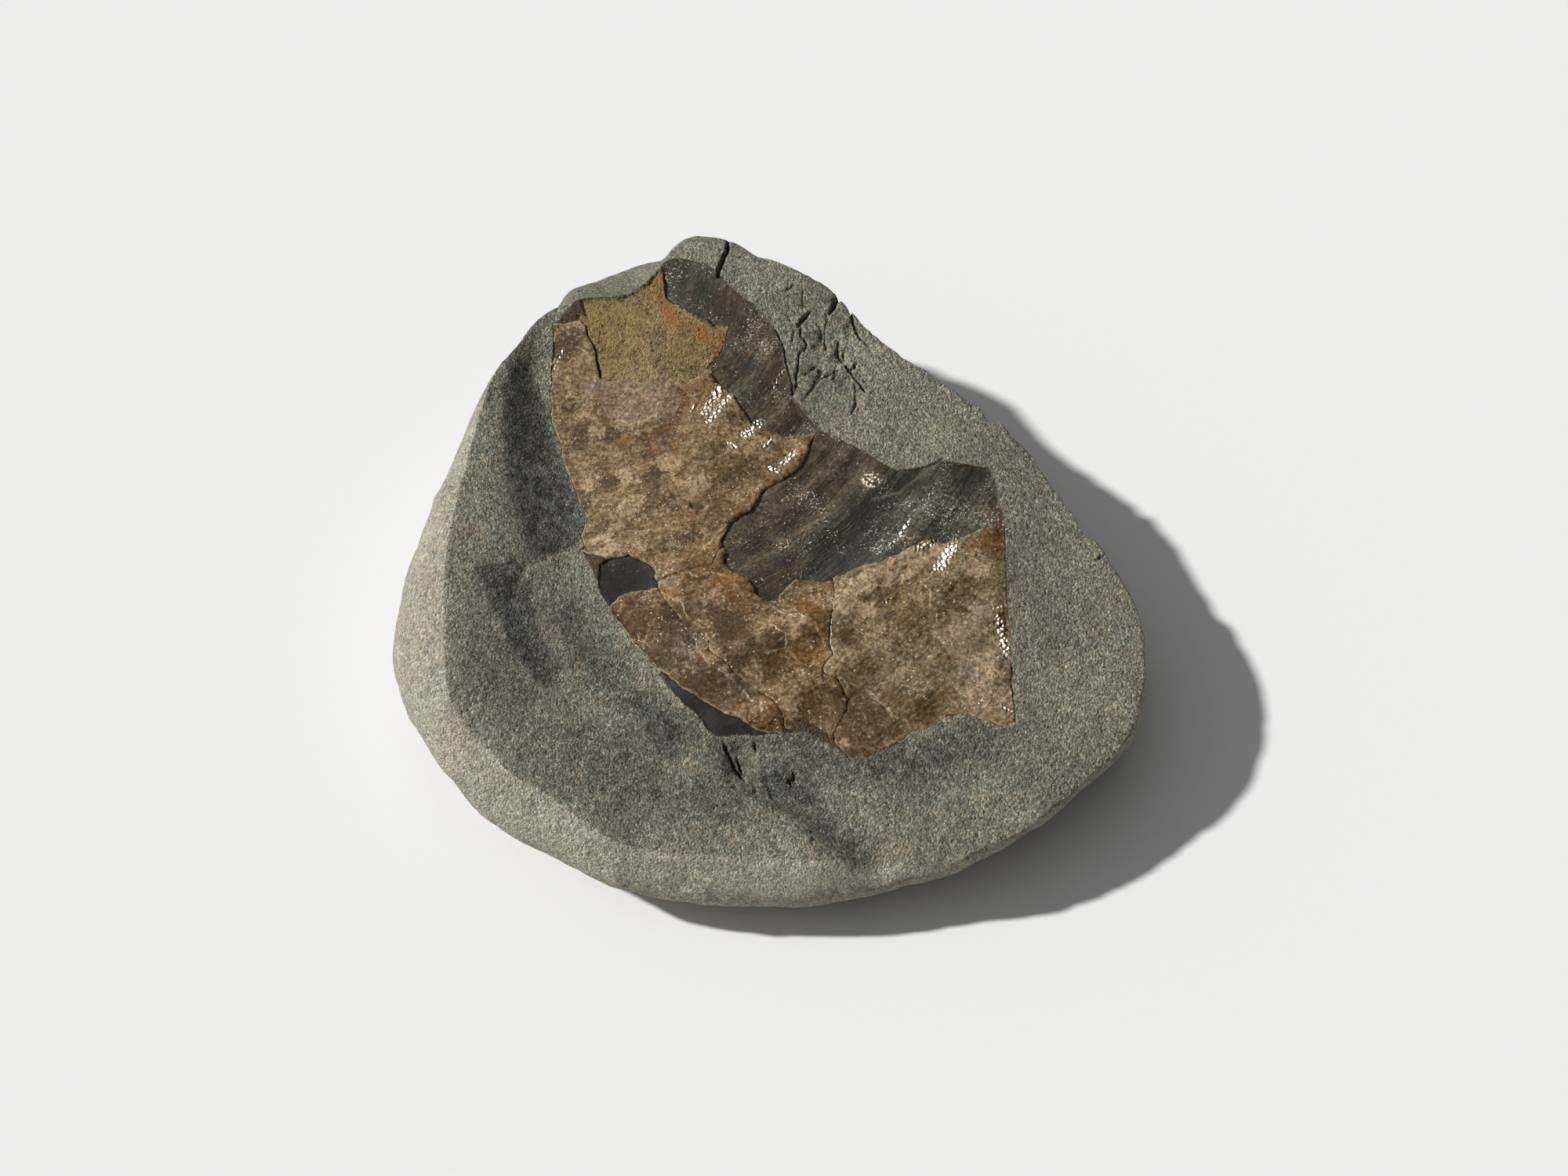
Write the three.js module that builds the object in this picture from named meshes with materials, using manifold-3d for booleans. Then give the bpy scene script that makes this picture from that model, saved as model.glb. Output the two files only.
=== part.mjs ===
// Fossil bivalve on the split face of a sandstone cobble
import * as THREE from 'three';
import { mergeVertices } from 'three/addons/utils/BufferGeometryUtils.js';
import Module from 'manifold-3d';

const wasm = await Module();
wasm.setup();

// Driving sizes in millimetres
const stoneWidth = 140;
const referenceHeight = 20;
const baseHalfWidth = 33;
const baseHalfDepth = 29;

// Levels below the split face: bare mould, top of the shell, and the gap under it
const mouldDepth = 0.7;
const shellSink = 0.05;
const shellThickness = 0.9;
const meetingGap = 0.3;

// Mesh fineness: cells across the face, rings down the wall
const faceCells = 38;
const wallRings = 7;
const ringsAboveWidest = 3;
const faceCrowding = 1.2;
const flatness = 0.09;

// How the photograph was taken, used to carry its outlines onto the stone
const photoWidth = 2000;
const photoMiddle = [1000, 750];
const stoneMiddle = [984, 727];
const stoneWidthInPhoto = 958;
const lensLength = 60;
const sensorWidth = 36;
const elevation = THREE.MathUtils.degToRad(57);

const focal = photoWidth * lensLength / sensorWidth;
const pixelsPerMm = stoneWidthInPhoto / stoneWidth;
const rightward = new THREE.Vector3(1, 0, 0);
const upward = new THREE.Vector3(0, Math.sin(elevation), Math.cos(elevation));
const toCamera = new THREE.Vector3(0, -Math.cos(elevation), Math.sin(elevation));
const camera = new THREE.Vector3(0, 0, referenceHeight)
  .addScaledVector(rightward, (photoMiddle[0] - stoneMiddle[0]) / pixelsPerMm)
  .addScaledVector(upward, -(photoMiddle[1] - stoneMiddle[1]) / pixelsPerMm)
  .addScaledVector(toCamera, focal / pixelsPerMm);

// Edge of the split face, clockwise from the knob at the back: photo x, photo y,
// height, how far the outer wall bulges past the edge, how far below it is widest
const faceEdge = [
  [886, 301, 33.5, 1.0, 5],
  [936, 308, 33.4, 1.0, 5],
  [964, 323, 33.0, 1.0, 5],
  [1002, 337, 32.4, 1.0, 5],
  [1037, 355, 31.8, 1.0, 5],
  [1068, 378, 31.0, 0.8, 5],
  [1102, 416, 30.0, 0.8, 5],
  [1124, 435, 29.5, 0.8, 5],
  [1171, 467, 28.6, 0.8, 5],
  [1217, 497, 27.6, 0.8, 5],
  [1248, 520, 26.8, 0.5, 5],
  [1262, 540, 26.2, 0.5, 5],
  [1273, 536, 26.2, 0.5, 5],
  [1288, 551, 25.8, 0.6, 5],
  [1315, 580, 25.0, 0.6, 5],
  [1339, 616, 24.2, 0.6, 5],
  [1364, 650, 23.5, 0.6, 5],
  [1384, 681, 23.0, 0.6, 5],
  [1405, 696, 22.6, 0.6, 5],
  [1423, 726, 22.2, 0.6, 5],
  [1451, 777, 21.3, 0.6, 5],
  [1461, 849, 20.3, 0.6, 5],
  [1459, 887, 19.6, 0.6, 5],
  [1447, 925, 19.0, 0.6, 5],
  [1434, 944, 18.6, 0.4, 3],
  [1409, 975, 18.0, 0.3, 2],
  [1388, 990, 17.6, 0.3, 1.6],
  [1352, 1025, 17.0, 0.3, 1.4],
  [1294, 1063, 16.6, 0.4, 1.6],
  [1256, 1080, 16.4, 0.6, 2.4],
  [1218, 1092, 16.3, 1.0, 3.4],
  [1171, 1098, 16.3, 1.8, 4.6],
  [1120, 1100, 16.4, 3.0, 6],
  [1044, 1098, 16.8, 4.6, 7.7],
  [967, 1094, 17.4, 5.2, 8.6],
  [915, 1091, 18.0, 5.5, 8.8],
  [861, 1088, 18.4, 5.2, 8.2],
  [821, 1082, 18.8, 5.2, 7.6],
  [781, 1072, 19.2, 5.0, 7],
  [740, 1045, 19.7, 5.8, 6.8],
  [695, 1012, 20.4, 6.8, 8],
  [655, 990, 21.0, 6.3, 7.8],
  [628, 962, 21.8, 6.9, 7.6],
  [599, 935, 22.8, 6.3, 7.6],
  [580, 906, 23.8, 6.4, 8.6],
  [570, 874, 24.6, 7.3, 10],
  [567, 850, 25.0, 8.7, 11.6],
  [566, 790, 25.8, 11.1, 14],
  [567, 730, 26.6, 9.8, 13],
  [570, 691, 27.0, 8.6, 12],
  [579, 652, 27.4, 7.2, 11],
  [589, 610, 27.8, 6.0, 10],
  [600, 568, 28.2, 4.4, 8],
  [609, 535, 28.5, 3.2, 7],
  [618, 508, 28.8, 2.2, 6],
  [628, 480, 29.1, 1.2, 6],
  [657, 442, 29.6, 1.0, 6],
  [678, 416, 30.0, 1.2, 6],
  [703, 394, 30.4, 2.0, 7],
  [722, 388, 30.8, 4.5, 8],
  [744, 379, 31.2, 7.6, 9],
  [775, 378, 31.6, 10.5, 10],
  [806, 370, 32.0, 11.4, 11],
  [830, 352, 32.6, 9.0, 10],
  [848, 332, 33.2, 4.0, 8],
  [860, 314, 33.4, 1.2, 6],
];

// Heights read on the split face and the fossil: photo x, photo y, height
const leftSlope = [
  [650, 475, 28.6], [676, 470, 26.7], [693, 462, 26.4], [641, 503, 28.4], [665, 505, 26.7],
  [688, 505, 25.0], [699, 503, 25.1], [635, 560, 27.6], [660, 560, 25.9], [685, 561, 24.0],
  [704, 562, 23.3], [640, 640, 26.6], [668, 640, 24.9], [700, 640, 22.8], [730, 640, 21.9],
  [630, 695, 26.2], [665, 690, 24.8], [702, 692, 22.7], [736, 690, 21.5], [620, 750, 25.5],
  [655, 750, 24.0], [690, 745, 22.5], [730, 755, 21.4], [615, 810, 25.0], [650, 805, 23.5],
  [682, 810, 21.9], [735, 815, 20.7], [612, 860, 24.2], [660, 865, 22.4], [705, 880, 20.8],
  [650, 920, 22.0],
];
const frontField = [
  [770, 800, 20.2], [800, 845, 19.5], [850, 897, 18.8], [885, 928, 18.5], [800, 900, 19.3],
  [760, 960, 19.2], [700, 960, 20.2], [850, 960, 18.9], [800, 1030, 19.1], [880, 1020, 19.0],
  [915, 965, 18.9], [930, 1020, 18.7], [950, 1065, 18.2], [1000, 1060, 18.0], [1045, 1085, 17.2],
  [1045, 985, 17.9], [1100, 1030, 17.4], [1180, 1030, 17.7], [1250, 1010, 18.2], [1330, 960, 19.2],
  [1400, 900, 19.9], [1150, 975, 18.8], [1100, 992, 18.2], [1200, 942, 19.7], [1270, 950, 19.9],
  [1330, 920, 20.3],
];
const rightField = [
  [1330, 850, 22.3], [1400, 800, 21.9], [1322, 780, 24.2], [1350, 720, 24.0], [1312, 700, 25.4],
  [1320, 640, 25.3], [1290, 600, 26.2], [1230, 560, 27.0], [1170, 540, 28.0], [1150, 500, 28.8],
  [1100, 530, 29.0], [1080, 470, 30.0], [1040, 430, 31.0], [1000, 390, 32.2], [960, 350, 33.0],
  [1060, 520, 29.4], [1284, 690, 26.4], [1288, 760, 25.1], [1291, 840, 23.3], [1296, 915, 21.3],
];
const valve = [
  [880, 350, 33.8], [900, 400, 33.2], [950, 430, 32.3], [970, 500, 30.9], [790, 400, 31.2],
  [780, 440, 30.0], [850, 430, 31.9], [830, 470, 30.7], [725, 430, 28.9], [740, 470, 27.8],
  [714, 470, 26.9], [714, 535, 24.6], [770, 530, 26.8], [820, 510, 28.6], [890, 520, 30.0],
  [950, 560, 29.7], [1010, 575, 29.4], [740, 600, 23.4], [800, 600, 25.6], [870, 600, 27.8],
  [950, 620, 28.4], [780, 660, 23.8], [850, 680, 26.1], [900, 680, 26.9], [1000, 640, 28.2],
  [1060, 600, 28.7], [1120, 620, 28.1], [980, 720, 26.2], [1060, 700, 26.4], [1150, 650, 27.5],
  [1220, 640, 27.2], [1260, 640, 26.8], [790, 735, 22.0], [850, 760, 23.7], [930, 760, 25.4],
  [1000, 800, 24.6], [1030, 870, 22.7], [1000, 900, 21.5], [1050, 920, 20.6], [800, 785, 21.4],
  [860, 830, 22.1], [900, 868, 21.6], [950, 898, 20.8], [975, 918, 20.2], [1100, 780, 25.0],
  [1150, 740, 26.0], [1200, 740, 26.0], [1180, 820, 24.2], [1250, 800, 24.1], [1120, 880, 22.2],
  [1200, 880, 22.3], [1260, 880, 22.2], [1090, 945, 20.0],
];

// Outlines on the fossil, in photo pixels
const ochreOutline = [
  [740, 381], [757, 378], [775, 381], [790, 380], [806, 373], [824, 361], [838, 344], [845, 350],
  [848, 377], [866, 386], [875, 397], [902, 413], [929, 412], [927, 428], [915, 451], [900, 469],
  [889, 480], [873, 487], [846, 482], [815, 483], [772, 479], [766, 460], [759, 442], [750, 422],
];
const upperOutline = [
  [707, 412], [719, 414], [739, 407], [745, 414], [757, 443], [765, 482], [803, 487], [836, 486],
  [866, 493], [879, 488], [898, 476], [905, 475], [916, 488], [935, 505], [945, 521], [957, 538],
  [973, 550], [1000, 556], [1040, 555], [1032, 568], [1025, 587], [1016, 599], [997, 613],
  [973, 625], [957, 653], [940, 659], [928, 672], [916, 696], [905, 718], [870, 726], [841, 736],
  [834, 727], [822, 715], [803, 708], [773, 714], [740, 703], [747, 696], [741, 684], [751, 663],
  [737, 635], [725, 606], [714, 564], [705, 538], [703, 507], [704, 470],
];
const middleOutline = [
  [843, 741], [871, 731], [908, 723], [921, 702], [920, 713], [936, 730], [956, 741], [964, 758],
  [978, 768], [992, 763], [998, 755], [1015, 738], [1037, 741], [1060, 746], [1060, 764],
  [1058, 787], [1056, 800], [1053, 819], [1058, 837], [1047, 849], [1045, 860], [1062, 868],
  [1069, 880], [1077, 893], [1073, 908], [1068, 917], [1060, 938], [1040, 926], [1024, 922],
  [1004, 925], [1004, 919], [994, 900], [973, 882], [955, 869], [937, 856], [922, 842], [908, 830],
  [910, 817], [897, 803], [883, 801], [871, 789], [858, 772], [844, 751],
];
const lowerLeftOutline = [
  [778, 775], [790, 760], [804, 755], [830, 750], [838, 754], [852, 776], [866, 794], [880, 808],
  [893, 810], [902, 819], [901, 831], [917, 847], [933, 861], [951, 874], [969, 887], [989, 905],
  [999, 921], [993, 932], [980, 935], [964, 928], [938, 915], [915, 903], [895, 893], [868, 874],
  [855, 865], [837, 848], [824, 834], [806, 819], [790, 796],
];
const rightOutline = [
  [1067, 739], [1082, 730], [1099, 724], [1127, 719], [1144, 711], [1161, 700], [1183, 691],
  [1203, 693], [1225, 687], [1253, 677], [1281, 675], [1283, 755], [1288, 801], [1289, 870],
  [1294, 922], [1277, 925], [1258, 918], [1235, 909], [1210, 911], [1190, 925], [1164, 929],
  [1150, 941], [1116, 961], [1086, 970], [1069, 950], [1068, 938], [1077, 918], [1084, 909],
  [1087, 892], [1078, 878], [1070, 863], [1053, 859], [1055, 852], [1066, 840], [1062, 819],
  [1064, 801], [1066, 788], [1073, 776], [1084, 765], [1068, 756],
];

// Margin of the whole fossil, where its ribs end
const fossilOutline = [
  [844, 337], [880, 331], [913, 346], [953, 382], [988, 420], [999, 462], [1012, 505], [1048, 550],
  [1102, 575], [1147, 601], [1203, 585], [1262, 596], [1284, 673], [1292, 870], [1298, 926],
  [1235, 909], [1164, 929], [1086, 970], [1029, 936], [953, 939], [915, 939], [855, 872],
  [777, 775], [740, 703], [751, 663], [705, 538], [704, 470], [707, 412], [736, 377], [806, 373],
];

// Bare mould round the hinge and right of the upper shell
const upperMouldOutline = [
  [844, 337], [860, 330], [880, 331], [902, 337], [913, 346], [931, 366], [953, 382], [971, 397],
  [988, 420], [995, 441], [999, 462], [1004, 481], [1012, 505], [1022, 530], [1048, 550],
  [1071, 560], [1102, 575], [1127, 592], [1147, 601], [1177, 596], [1203, 585], [1217, 595],
  [1262, 596], [1271, 615], [1273, 637], [1281, 654], [1286, 680], [1240, 720], [1100, 760],
  [1000, 790], [900, 740], [900, 640], [880, 560], [860, 500], [905, 460], [925, 425], [900, 405],
  [870, 392], [850, 378],
];
const leftMouldOutline = [
  [763, 748], [765, 722], [786, 700], [840, 700], [860, 760], [800, 790], [777, 772],
];
const lowerMouldOutline = [
  [846, 856], [880, 880], [1000, 915], [1010, 934], [993, 934], [953, 938], [931, 940], [915, 939],
  [899, 924], [880, 902], [858, 880], [839, 858],
];

// Cracks and notches in the stone: route in photo pixels, width, depth
const cracks = [
  { route: [[930, 306], [922, 335], [914, 354]], width: 0.8, depth: 3 },
  { route: [[1071, 374], [1057, 403]], width: 0.9, depth: 2 },
  { route: [[1034, 395], [1016, 418]], width: 0.7, depth: 2 },
  { route: [[1081, 390], [1098, 436]], width: 0.5, depth: 1.5 },
  { route: [[923, 944], [932, 967], [943, 990]], width: 0.9, depth: 1.5 },
];

// Rough valley in front of the fossil: steep on its left, easing out on its right
const valleyRoute = [
  [920, 940], [934, 985], [962, 1003], [990, 1018], [1017, 1038], [1042, 1056], [1062, 1074],
  [1083, 1090], [1100, 1103],
];
const valleyDepth = 2.4;
const valleyBank = 3;
const valleyEase = 6;
const valleyStart = 2.5;

// Growth ribs by their distance from the hinge end, half width and height
const ribHub = [-30, 62];
const ribStretch = 1.165;
const ribFade = 3;
const ribRows = [
  { crest: 32, width: 3.5, height: 0.4 },
  { crest: 41.5, width: 3.2, height: 0.6 },
  { crest: 51, width: 3.2, height: 0.7 },
  { crest: 60.5, width: 2.6, height: 0.6 },
  { crest: 66.2, width: 2.0, height: 0.35 },
  { crest: 74.5, width: 3.4, height: 0.8 },
  { crest: 88, width: 4.2, height: 1.2 },
  { crest: 99.5, width: 4.0, height: 0.9 },
  { crest: 110, width: 3.6, height: 0.6 },
];

// Settings of the smooth surface and of the cutting bodies
const surfaceEase = 2;
const photoPasses = 30;
const farBelow = 10;
const farAbove = 6;
const prismHeight = 60;
const crackSteps = 8;
const crackTip = 0.15;
const crackBelly = 0.35;
const sharpestCorner = 0.6;

// The spot on the level z that the photo point shows
function photoToLevel(photoX, photoY, z) {
  const ray = new THREE.Vector3()
    .addScaledVector(toCamera, -1)
    .addScaledVector(rightward, (photoX - photoMiddle[0]) / focal)
    .addScaledVector(upward, (photoMiddle[1] - photoY) / focal);
  return camera.clone().addScaledVector(ray, (z - camera.z) / ray.z);
}

// The spot on a height function that the photo point shows
function photoToSurface(photoX, photoY, height) {
  let z = referenceHeight;
  let spot = photoToLevel(photoX, photoY, z);
  for (let pass = 0; pass < photoPasses; pass += 1) {
    z = (z + height(spot.x, spot.y)) / 2;
    spot = photoToLevel(photoX, photoY, z);
  }
  return spot;
}

// Solve a square linear system by elimination with row swaps
function solve(matrix, right) {
  const size = right.length;
  const rows = matrix.map((row, i) => [...row, right[i]]);
  for (let col = 0; col < size; col += 1) {
    let best = col;
    for (let row = col + 1; row < size; row += 1) {
      if (Math.abs(rows[row][col]) > Math.abs(rows[best][col])) best = row;
    }
    [rows[col], rows[best]] = [rows[best], rows[col]];
    for (let row = col + 1; row < size; row += 1) {
      const factor = rows[row][col] / rows[col][col];
      for (let k = col; k <= size; k += 1) rows[row][k] -= factor * rows[col][k];
    }
  }
  const answer = new Array(size).fill(0);
  for (let row = size - 1; row >= 0; row -= 1) {
    let sum = rows[row][size];
    for (let k = row + 1; k < size; k += 1) sum -= rows[row][k] * answer[k];
    answer[row] = sum / rows[row][row];
  }
  return answer;
}

// Thin-plate surface through a list of points, eased by a small stiffness
function thinPlate(points, stiffness) {
  const bend = (distanceSquared) => (
    distanceSquared > 0 ? 0.5 * distanceSquared * Math.log(distanceSquared) : 0
  );
  const gap2 = (a, b) => (a.x - b.x) ** 2 + (a.y - b.y) ** 2;
  const count = points.length;
  const matrix = points.map((a, i) => [
    ...points.map((b, j) => bend(gap2(a, b)) + (i === j ? stiffness : 0)), 1, a.x, a.y,
  ]);
  matrix.push([...points.map(() => 1), 0, 0, 0]);
  matrix.push([...points.map((p) => p.x), 0, 0, 0]);
  matrix.push([...points.map((p) => p.y), 0, 0, 0]);
  const weights = solve(matrix, [...points.map((p) => p.z), 0, 0, 0]);
  return (x, y) => {
    let z = weights[count] + weights[count + 1] * x + weights[count + 2] * y;
    points.forEach((p, i) => {
      z += weights[i] * bend((x - p.x) ** 2 + (y - p.y) ** 2);
    });
    return z;
  };
}

const smoothstep = THREE.MathUtils.smoothstep;
const edgeSpots = faceEdge.map(([px, py, z]) => photoToLevel(px, py, z));
const landmarks = [...leftSlope, ...frontField, ...rightField, ...valve];
const plainFace = thinPlate(
  [...edgeSpots, ...landmarks.map(([px, py, z]) => photoToLevel(px, py, z))],
  surfaceEase,
);
const toPlan = (outline) => outline.map(([px, py]) => photoToSurface(px, py, plainFace));
const fossilPlan = toPlan(fossilOutline);
const valleyPlan = toPlan(valleyRoute);

// Offset of a spot from its nearest point on the leg from a to b
function legOffset(a, b, x, y) {
  const step = { x: b.x - a.x, y: b.y - a.y };
  const along = THREE.MathUtils.clamp(
    ((x - a.x) * step.x + (y - a.y) * step.y) / (step.x ** 2 + step.y ** 2),
    0,
    1,
  );
  const gap = { x: x - a.x - along * step.x, y: y - a.y - along * step.y };
  return { distance: Math.hypot(gap.x, gap.y), left: step.x * gap.y - step.y * gap.x };
}

// Distance inside a closed outline, negative outside
function insideDistance(outline, x, y) {
  let nearest = Infinity;
  let inside = false;
  outline.forEach((a, i) => {
    const b = outline[(i + 1) % outline.length];
    nearest = Math.min(nearest, legOffset(a, b, x, y).distance);
    if ((a.y > y) !== (b.y > y) && x < a.x + (b.x - a.x) * (y - a.y) / (b.y - a.y)) {
      inside = !inside;
    }
  });
  return inside ? nearest : -nearest;
}

// Distance to the left of a route, negative to its right
function leftDistance(route, x, y) {
  let nearest = { distance: Infinity, left: 0 };
  for (let i = 1; i < route.length; i += 1) {
    const offset = legOffset(route[i - 1], route[i], x, y);
    if (offset.distance < nearest.distance) nearest = offset;
  }
  return nearest.distance * Math.sign(nearest.left);
}

// Rounded growth ribs, fading out at the fossil's margin
function ribs(x, y, inside) {
  const reach = Math.hypot(ribStretch * (x - ribHub[0]), y - ribHub[1]);
  const fade = smoothstep(inside, 0, ribFade);
  return ribRows.reduce(
    (sum, rib) => sum + rib.height * fade * Math.exp(-(((reach - rib.crest) / rib.width) ** 2)),
    0,
  );
}

// Depth of the valley, nothing on the fossil
function valleyFall(x, y, inside) {
  const across = leftDistance(valleyPlan, x, y);
  const bank = smoothstep(across, -valleyBank, valleyBank);
  const ease = Math.exp(-Math.max(across - valleyBank, 0) / valleyEase);
  return valleyDepth * bank * ease * smoothstep(-inside, 0, valleyStart);
}

function faceHeight(x, y) {
  const inside = insideDistance(fossilPlan, x, y);
  return plainFace(x, y) + ribs(x, y, inside) - valleyFall(x, y, inside);
}

// Face edge and wall sizes at any compass angle about the stone's middle
const edgeSamples = 1440;
const edgeCurve = new THREE.CatmullRomCurve3(edgeSpots, true, 'catmullrom', 0.5);
const wallCurve = new THREE.CatmullRomCurve3(
  faceEdge.map(([, , , reach, drop]) => new THREE.Vector3(reach, drop, 0)),
  true,
  'catmullrom',
  0.5,
);
const edgeByAngle = [];
for (let i = 0; i < edgeSamples; i += 1) {
  const spot = edgeCurve.getPoint(i / edgeSamples);
  const wall = wallCurve.getPoint(i / edgeSamples);
  edgeByAngle.push({
    angle: Math.atan2(spot.y, spot.x),
    radius: Math.hypot(spot.x, spot.y),
    height: spot.z,
    reach: wall.x,
    drop: wall.y,
  });
}
edgeByAngle.sort((a, b) => a.angle - b.angle);

function edgeAt(angle) {
  const turn = 2 * Math.PI;
  const wanted = Math.atan2(Math.sin(angle), Math.cos(angle));
  let next = edgeByAngle.findIndex((sample) => sample.angle > wanted);
  if (next < 0) next = 0;
  const a = edgeByAngle[(next + edgeSamples - 1) % edgeSamples];
  const b = edgeByAngle[next];
  const span = (b.angle - a.angle + turn) % turn;
  const part = ((wanted - a.angle + turn) % turn) / span;
  const mix = (key) => a[key] + (b[key] - a[key]) * part;
  return { radius: mix('radius'), height: mix('height'), reach: mix('reach'), drop: mix('drop') };
}

// Square-to-disc map: angle and radius from 0 to 1
function squareToDisc(a, b) {
  if (a === 0 && b === 0) return { radius: 0, angle: 0 };
  if (Math.abs(a) >= Math.abs(b)) {
    return { radius: Math.abs(a), angle: (Math.PI / 4) * (b / a) + (a < 0 ? Math.PI : 0) };
  }
  return { radius: Math.abs(b), angle: Math.PI / 2 - (Math.PI / 4) * (a / b) + (b < 0 ? Math.PI : 0) };
}

// A spot on the split face
function facePoint(a, b, lift) {
  const { radius, angle } = squareToDisc(a, b);
  const distance = edgeAt(angle).radius * radius ** faceCrowding;
  const x = distance * Math.cos(angle);
  const y = distance * Math.sin(angle);
  return new THREE.Vector3(x, y, faceHeight(x, y) + lift);
}

function baseRadius(angle) {
  return 1 / Math.hypot(Math.cos(angle) / baseHalfWidth, Math.sin(angle) / baseHalfDepth);
}

// A spot on the outer wall, ring 0 at the face edge and the last on the base
function wallPoint(a, b, ring) {
  const { angle } = squareToDisc(a, b);
  const edge = edgeAt(angle);
  const widestRadius = edge.radius + edge.reach;
  const widestHeight = edge.height - edge.drop;
  let radius = widestRadius;
  let height = widestHeight;
  if (ring <= ringsAboveWidest) {
    const start = Math.PI / 6;
    const swing = start + (Math.PI / 2 - start) * (ring / ringsAboveWidest);
    radius = edge.radius + edge.reach * (Math.sin(swing) - Math.sin(start)) / (1 - Math.sin(start));
    height = widestHeight + edge.drop * Math.cos(swing) / Math.cos(start);
  } else {
    const swing = (Math.PI / 2) * (ring - ringsAboveWidest) / (wallRings - ringsAboveWidest);
    radius = baseRadius(angle) + (widestRadius - baseRadius(angle)) * Math.cos(swing);
    height = widestHeight * (1 - Math.sin(swing));
  }
  return new THREE.Vector3(radius * Math.cos(angle), radius * Math.sin(angle), height);
}

// Bend a box mesh by moving each of its corner points
function bendBox(segmentsDown, place) {
  const geometry = new THREE.BoxGeometry(2, 2, 2, faceCells, faceCells, segmentsDown);
  const position = geometry.attributes.position;
  for (let i = 0; i < position.count; i += 1) {
    const spot = place(position.getX(i), position.getY(i), position.getZ(i));
    position.setXYZ(i, spot.x, spot.y, spot.z);
  }
  return geometry;
}

function toManifold(geometry) {
  const plain = geometry.clone();
  plain.deleteAttribute('normal');
  plain.deleteAttribute('uv');
  const welded = mergeVertices(plain, 1e-4);
  return new wasm.Manifold(new wasm.Mesh({
    numProp: 3,
    vertProperties: new Float32Array(welded.attributes.position.array),
    triVerts: new Uint32Array(welded.index.array),
  }));
}

function toGeometry(solid) {
  const mesh = solid.getMesh();
  const geometry = new THREE.BufferGeometry();
  geometry.setAttribute('position', new THREE.BufferAttribute(mesh.vertProperties, 3));
  geometry.setIndex(new THREE.BufferAttribute(mesh.triVerts, 1));
  const flat = geometry.toNonIndexed();
  flat.computeVertexNormals();
  return flat;
}

// Cobble with its split face, bulging wall and flat resting spot
function cobble() {
  return toManifold(bendBox(wallRings, (a, b, c) => {
    if (c === 1) return facePoint(a, b, 0);
    if (c > -1) return wallPoint(a, b, Math.round((1 - c) / 2 * wallRings));
    const { radius, angle } = squareToDisc(a, b);
    const distance = radius * baseRadius(angle);
    return new THREE.Vector3(distance * Math.cos(angle), distance * Math.sin(angle), 0);
  }));
}

// Sheet that follows the face between two lifts above it
function sheet(low, high) {
  return toManifold(bendBox(1, (a, b, c) => facePoint(a, b, c > 0 ? high : low)));
}

// Upright prism over an outline in plan
function prism(plan) {
  const shape = new THREE.Shape(plan.map((p) => new THREE.Vector2(p.x, p.y)));
  return toManifold(new THREE.ExtrudeGeometry(shape, { depth: prismHeight, bevelEnabled: false }));
}

// Ribbon outline of a crack: pointed ends, full width in the middle
function crackPlan(route, width) {
  const curve = new THREE.CatmullRomCurve3(toPlan(route), false, 'catmullrom', 0.5);
  const left = [];
  const right = [];
  for (let i = 0; i <= crackSteps; i += 1) {
    const spot = curve.getPoint(i / crackSteps);
    const way = curve.getTangent(i / crackSteps);
    const length = Math.hypot(way.x, way.y);
    const half = width * (crackTip + crackBelly * Math.sin(Math.PI * i / crackSteps));
    left.push(new THREE.Vector3(spot.x - way.y / length * half, spot.y + way.x / length * half, 0));
    right.unshift(new THREE.Vector3(spot.x + way.y / length * half, spot.y - way.x / length * half, 0));
  }
  return [...left, ...right];
}

// Outline moved outward by a small gap
function grown(plan, gap) {
  const sense = Math.sign(THREE.ShapeUtils.area(plan));
  return plan.map((spot, i) => {
    const before = plan[(i + plan.length - 1) % plan.length];
    const after = plan[(i + 1) % plan.length];
    const into = new THREE.Vector2(spot.x - before.x, spot.y - before.y).normalize();
    const away = new THREE.Vector2(after.x - spot.x, after.y - spot.y).normalize();
    const out = new THREE.Vector2(into.y + away.y, -into.x - away.x).normalize().multiplyScalar(sense);
    const square = Math.max((out.x * into.y - out.y * into.x) * sense, sharpestCorner);
    return new THREE.Vector3(spot.x + out.x * gap / square, spot.y + out.y * gap / square, 0);
  });
}

// Everything above a depth below the face, within an outline
function opening(plan, depth) {
  return prism(plan).intersect(sheet(-depth, farAbove));
}

// Stone with the bare mould, the shell's seats and the cracks cut into it
function stoneSolid() {
  let solid = cobble();
  [ochreOutline, upperMouldOutline, leftMouldOutline, lowerMouldOutline].forEach((outline) => {
    solid = solid.subtract(opening(toPlan(outline), mouldDepth));
  });
  [upperOutline, middleOutline, lowerLeftOutline, rightOutline].forEach((outline) => {
    const seat = grown(toPlan(outline), meetingGap);
    solid = solid.subtract(opening(seat, shellSink + shellThickness + meetingGap));
  });
  cracks.forEach(({ route, width, depth }) => {
    solid = solid.subtract(opening(crackPlan(route, width), depth));
  });
  return solid.simplify(flatness);
}

// Broken piece of shell lying in its seat
function shellSolid(outline) {
  const filled = sheet(-farBelow / 2, -shellSink);
  const underneath = sheet(-farBelow, -shellSink - shellThickness);
  return prism(toPlan(outline)).intersect(filled).subtract(underneath).simplify(flatness / 2);
}

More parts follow.
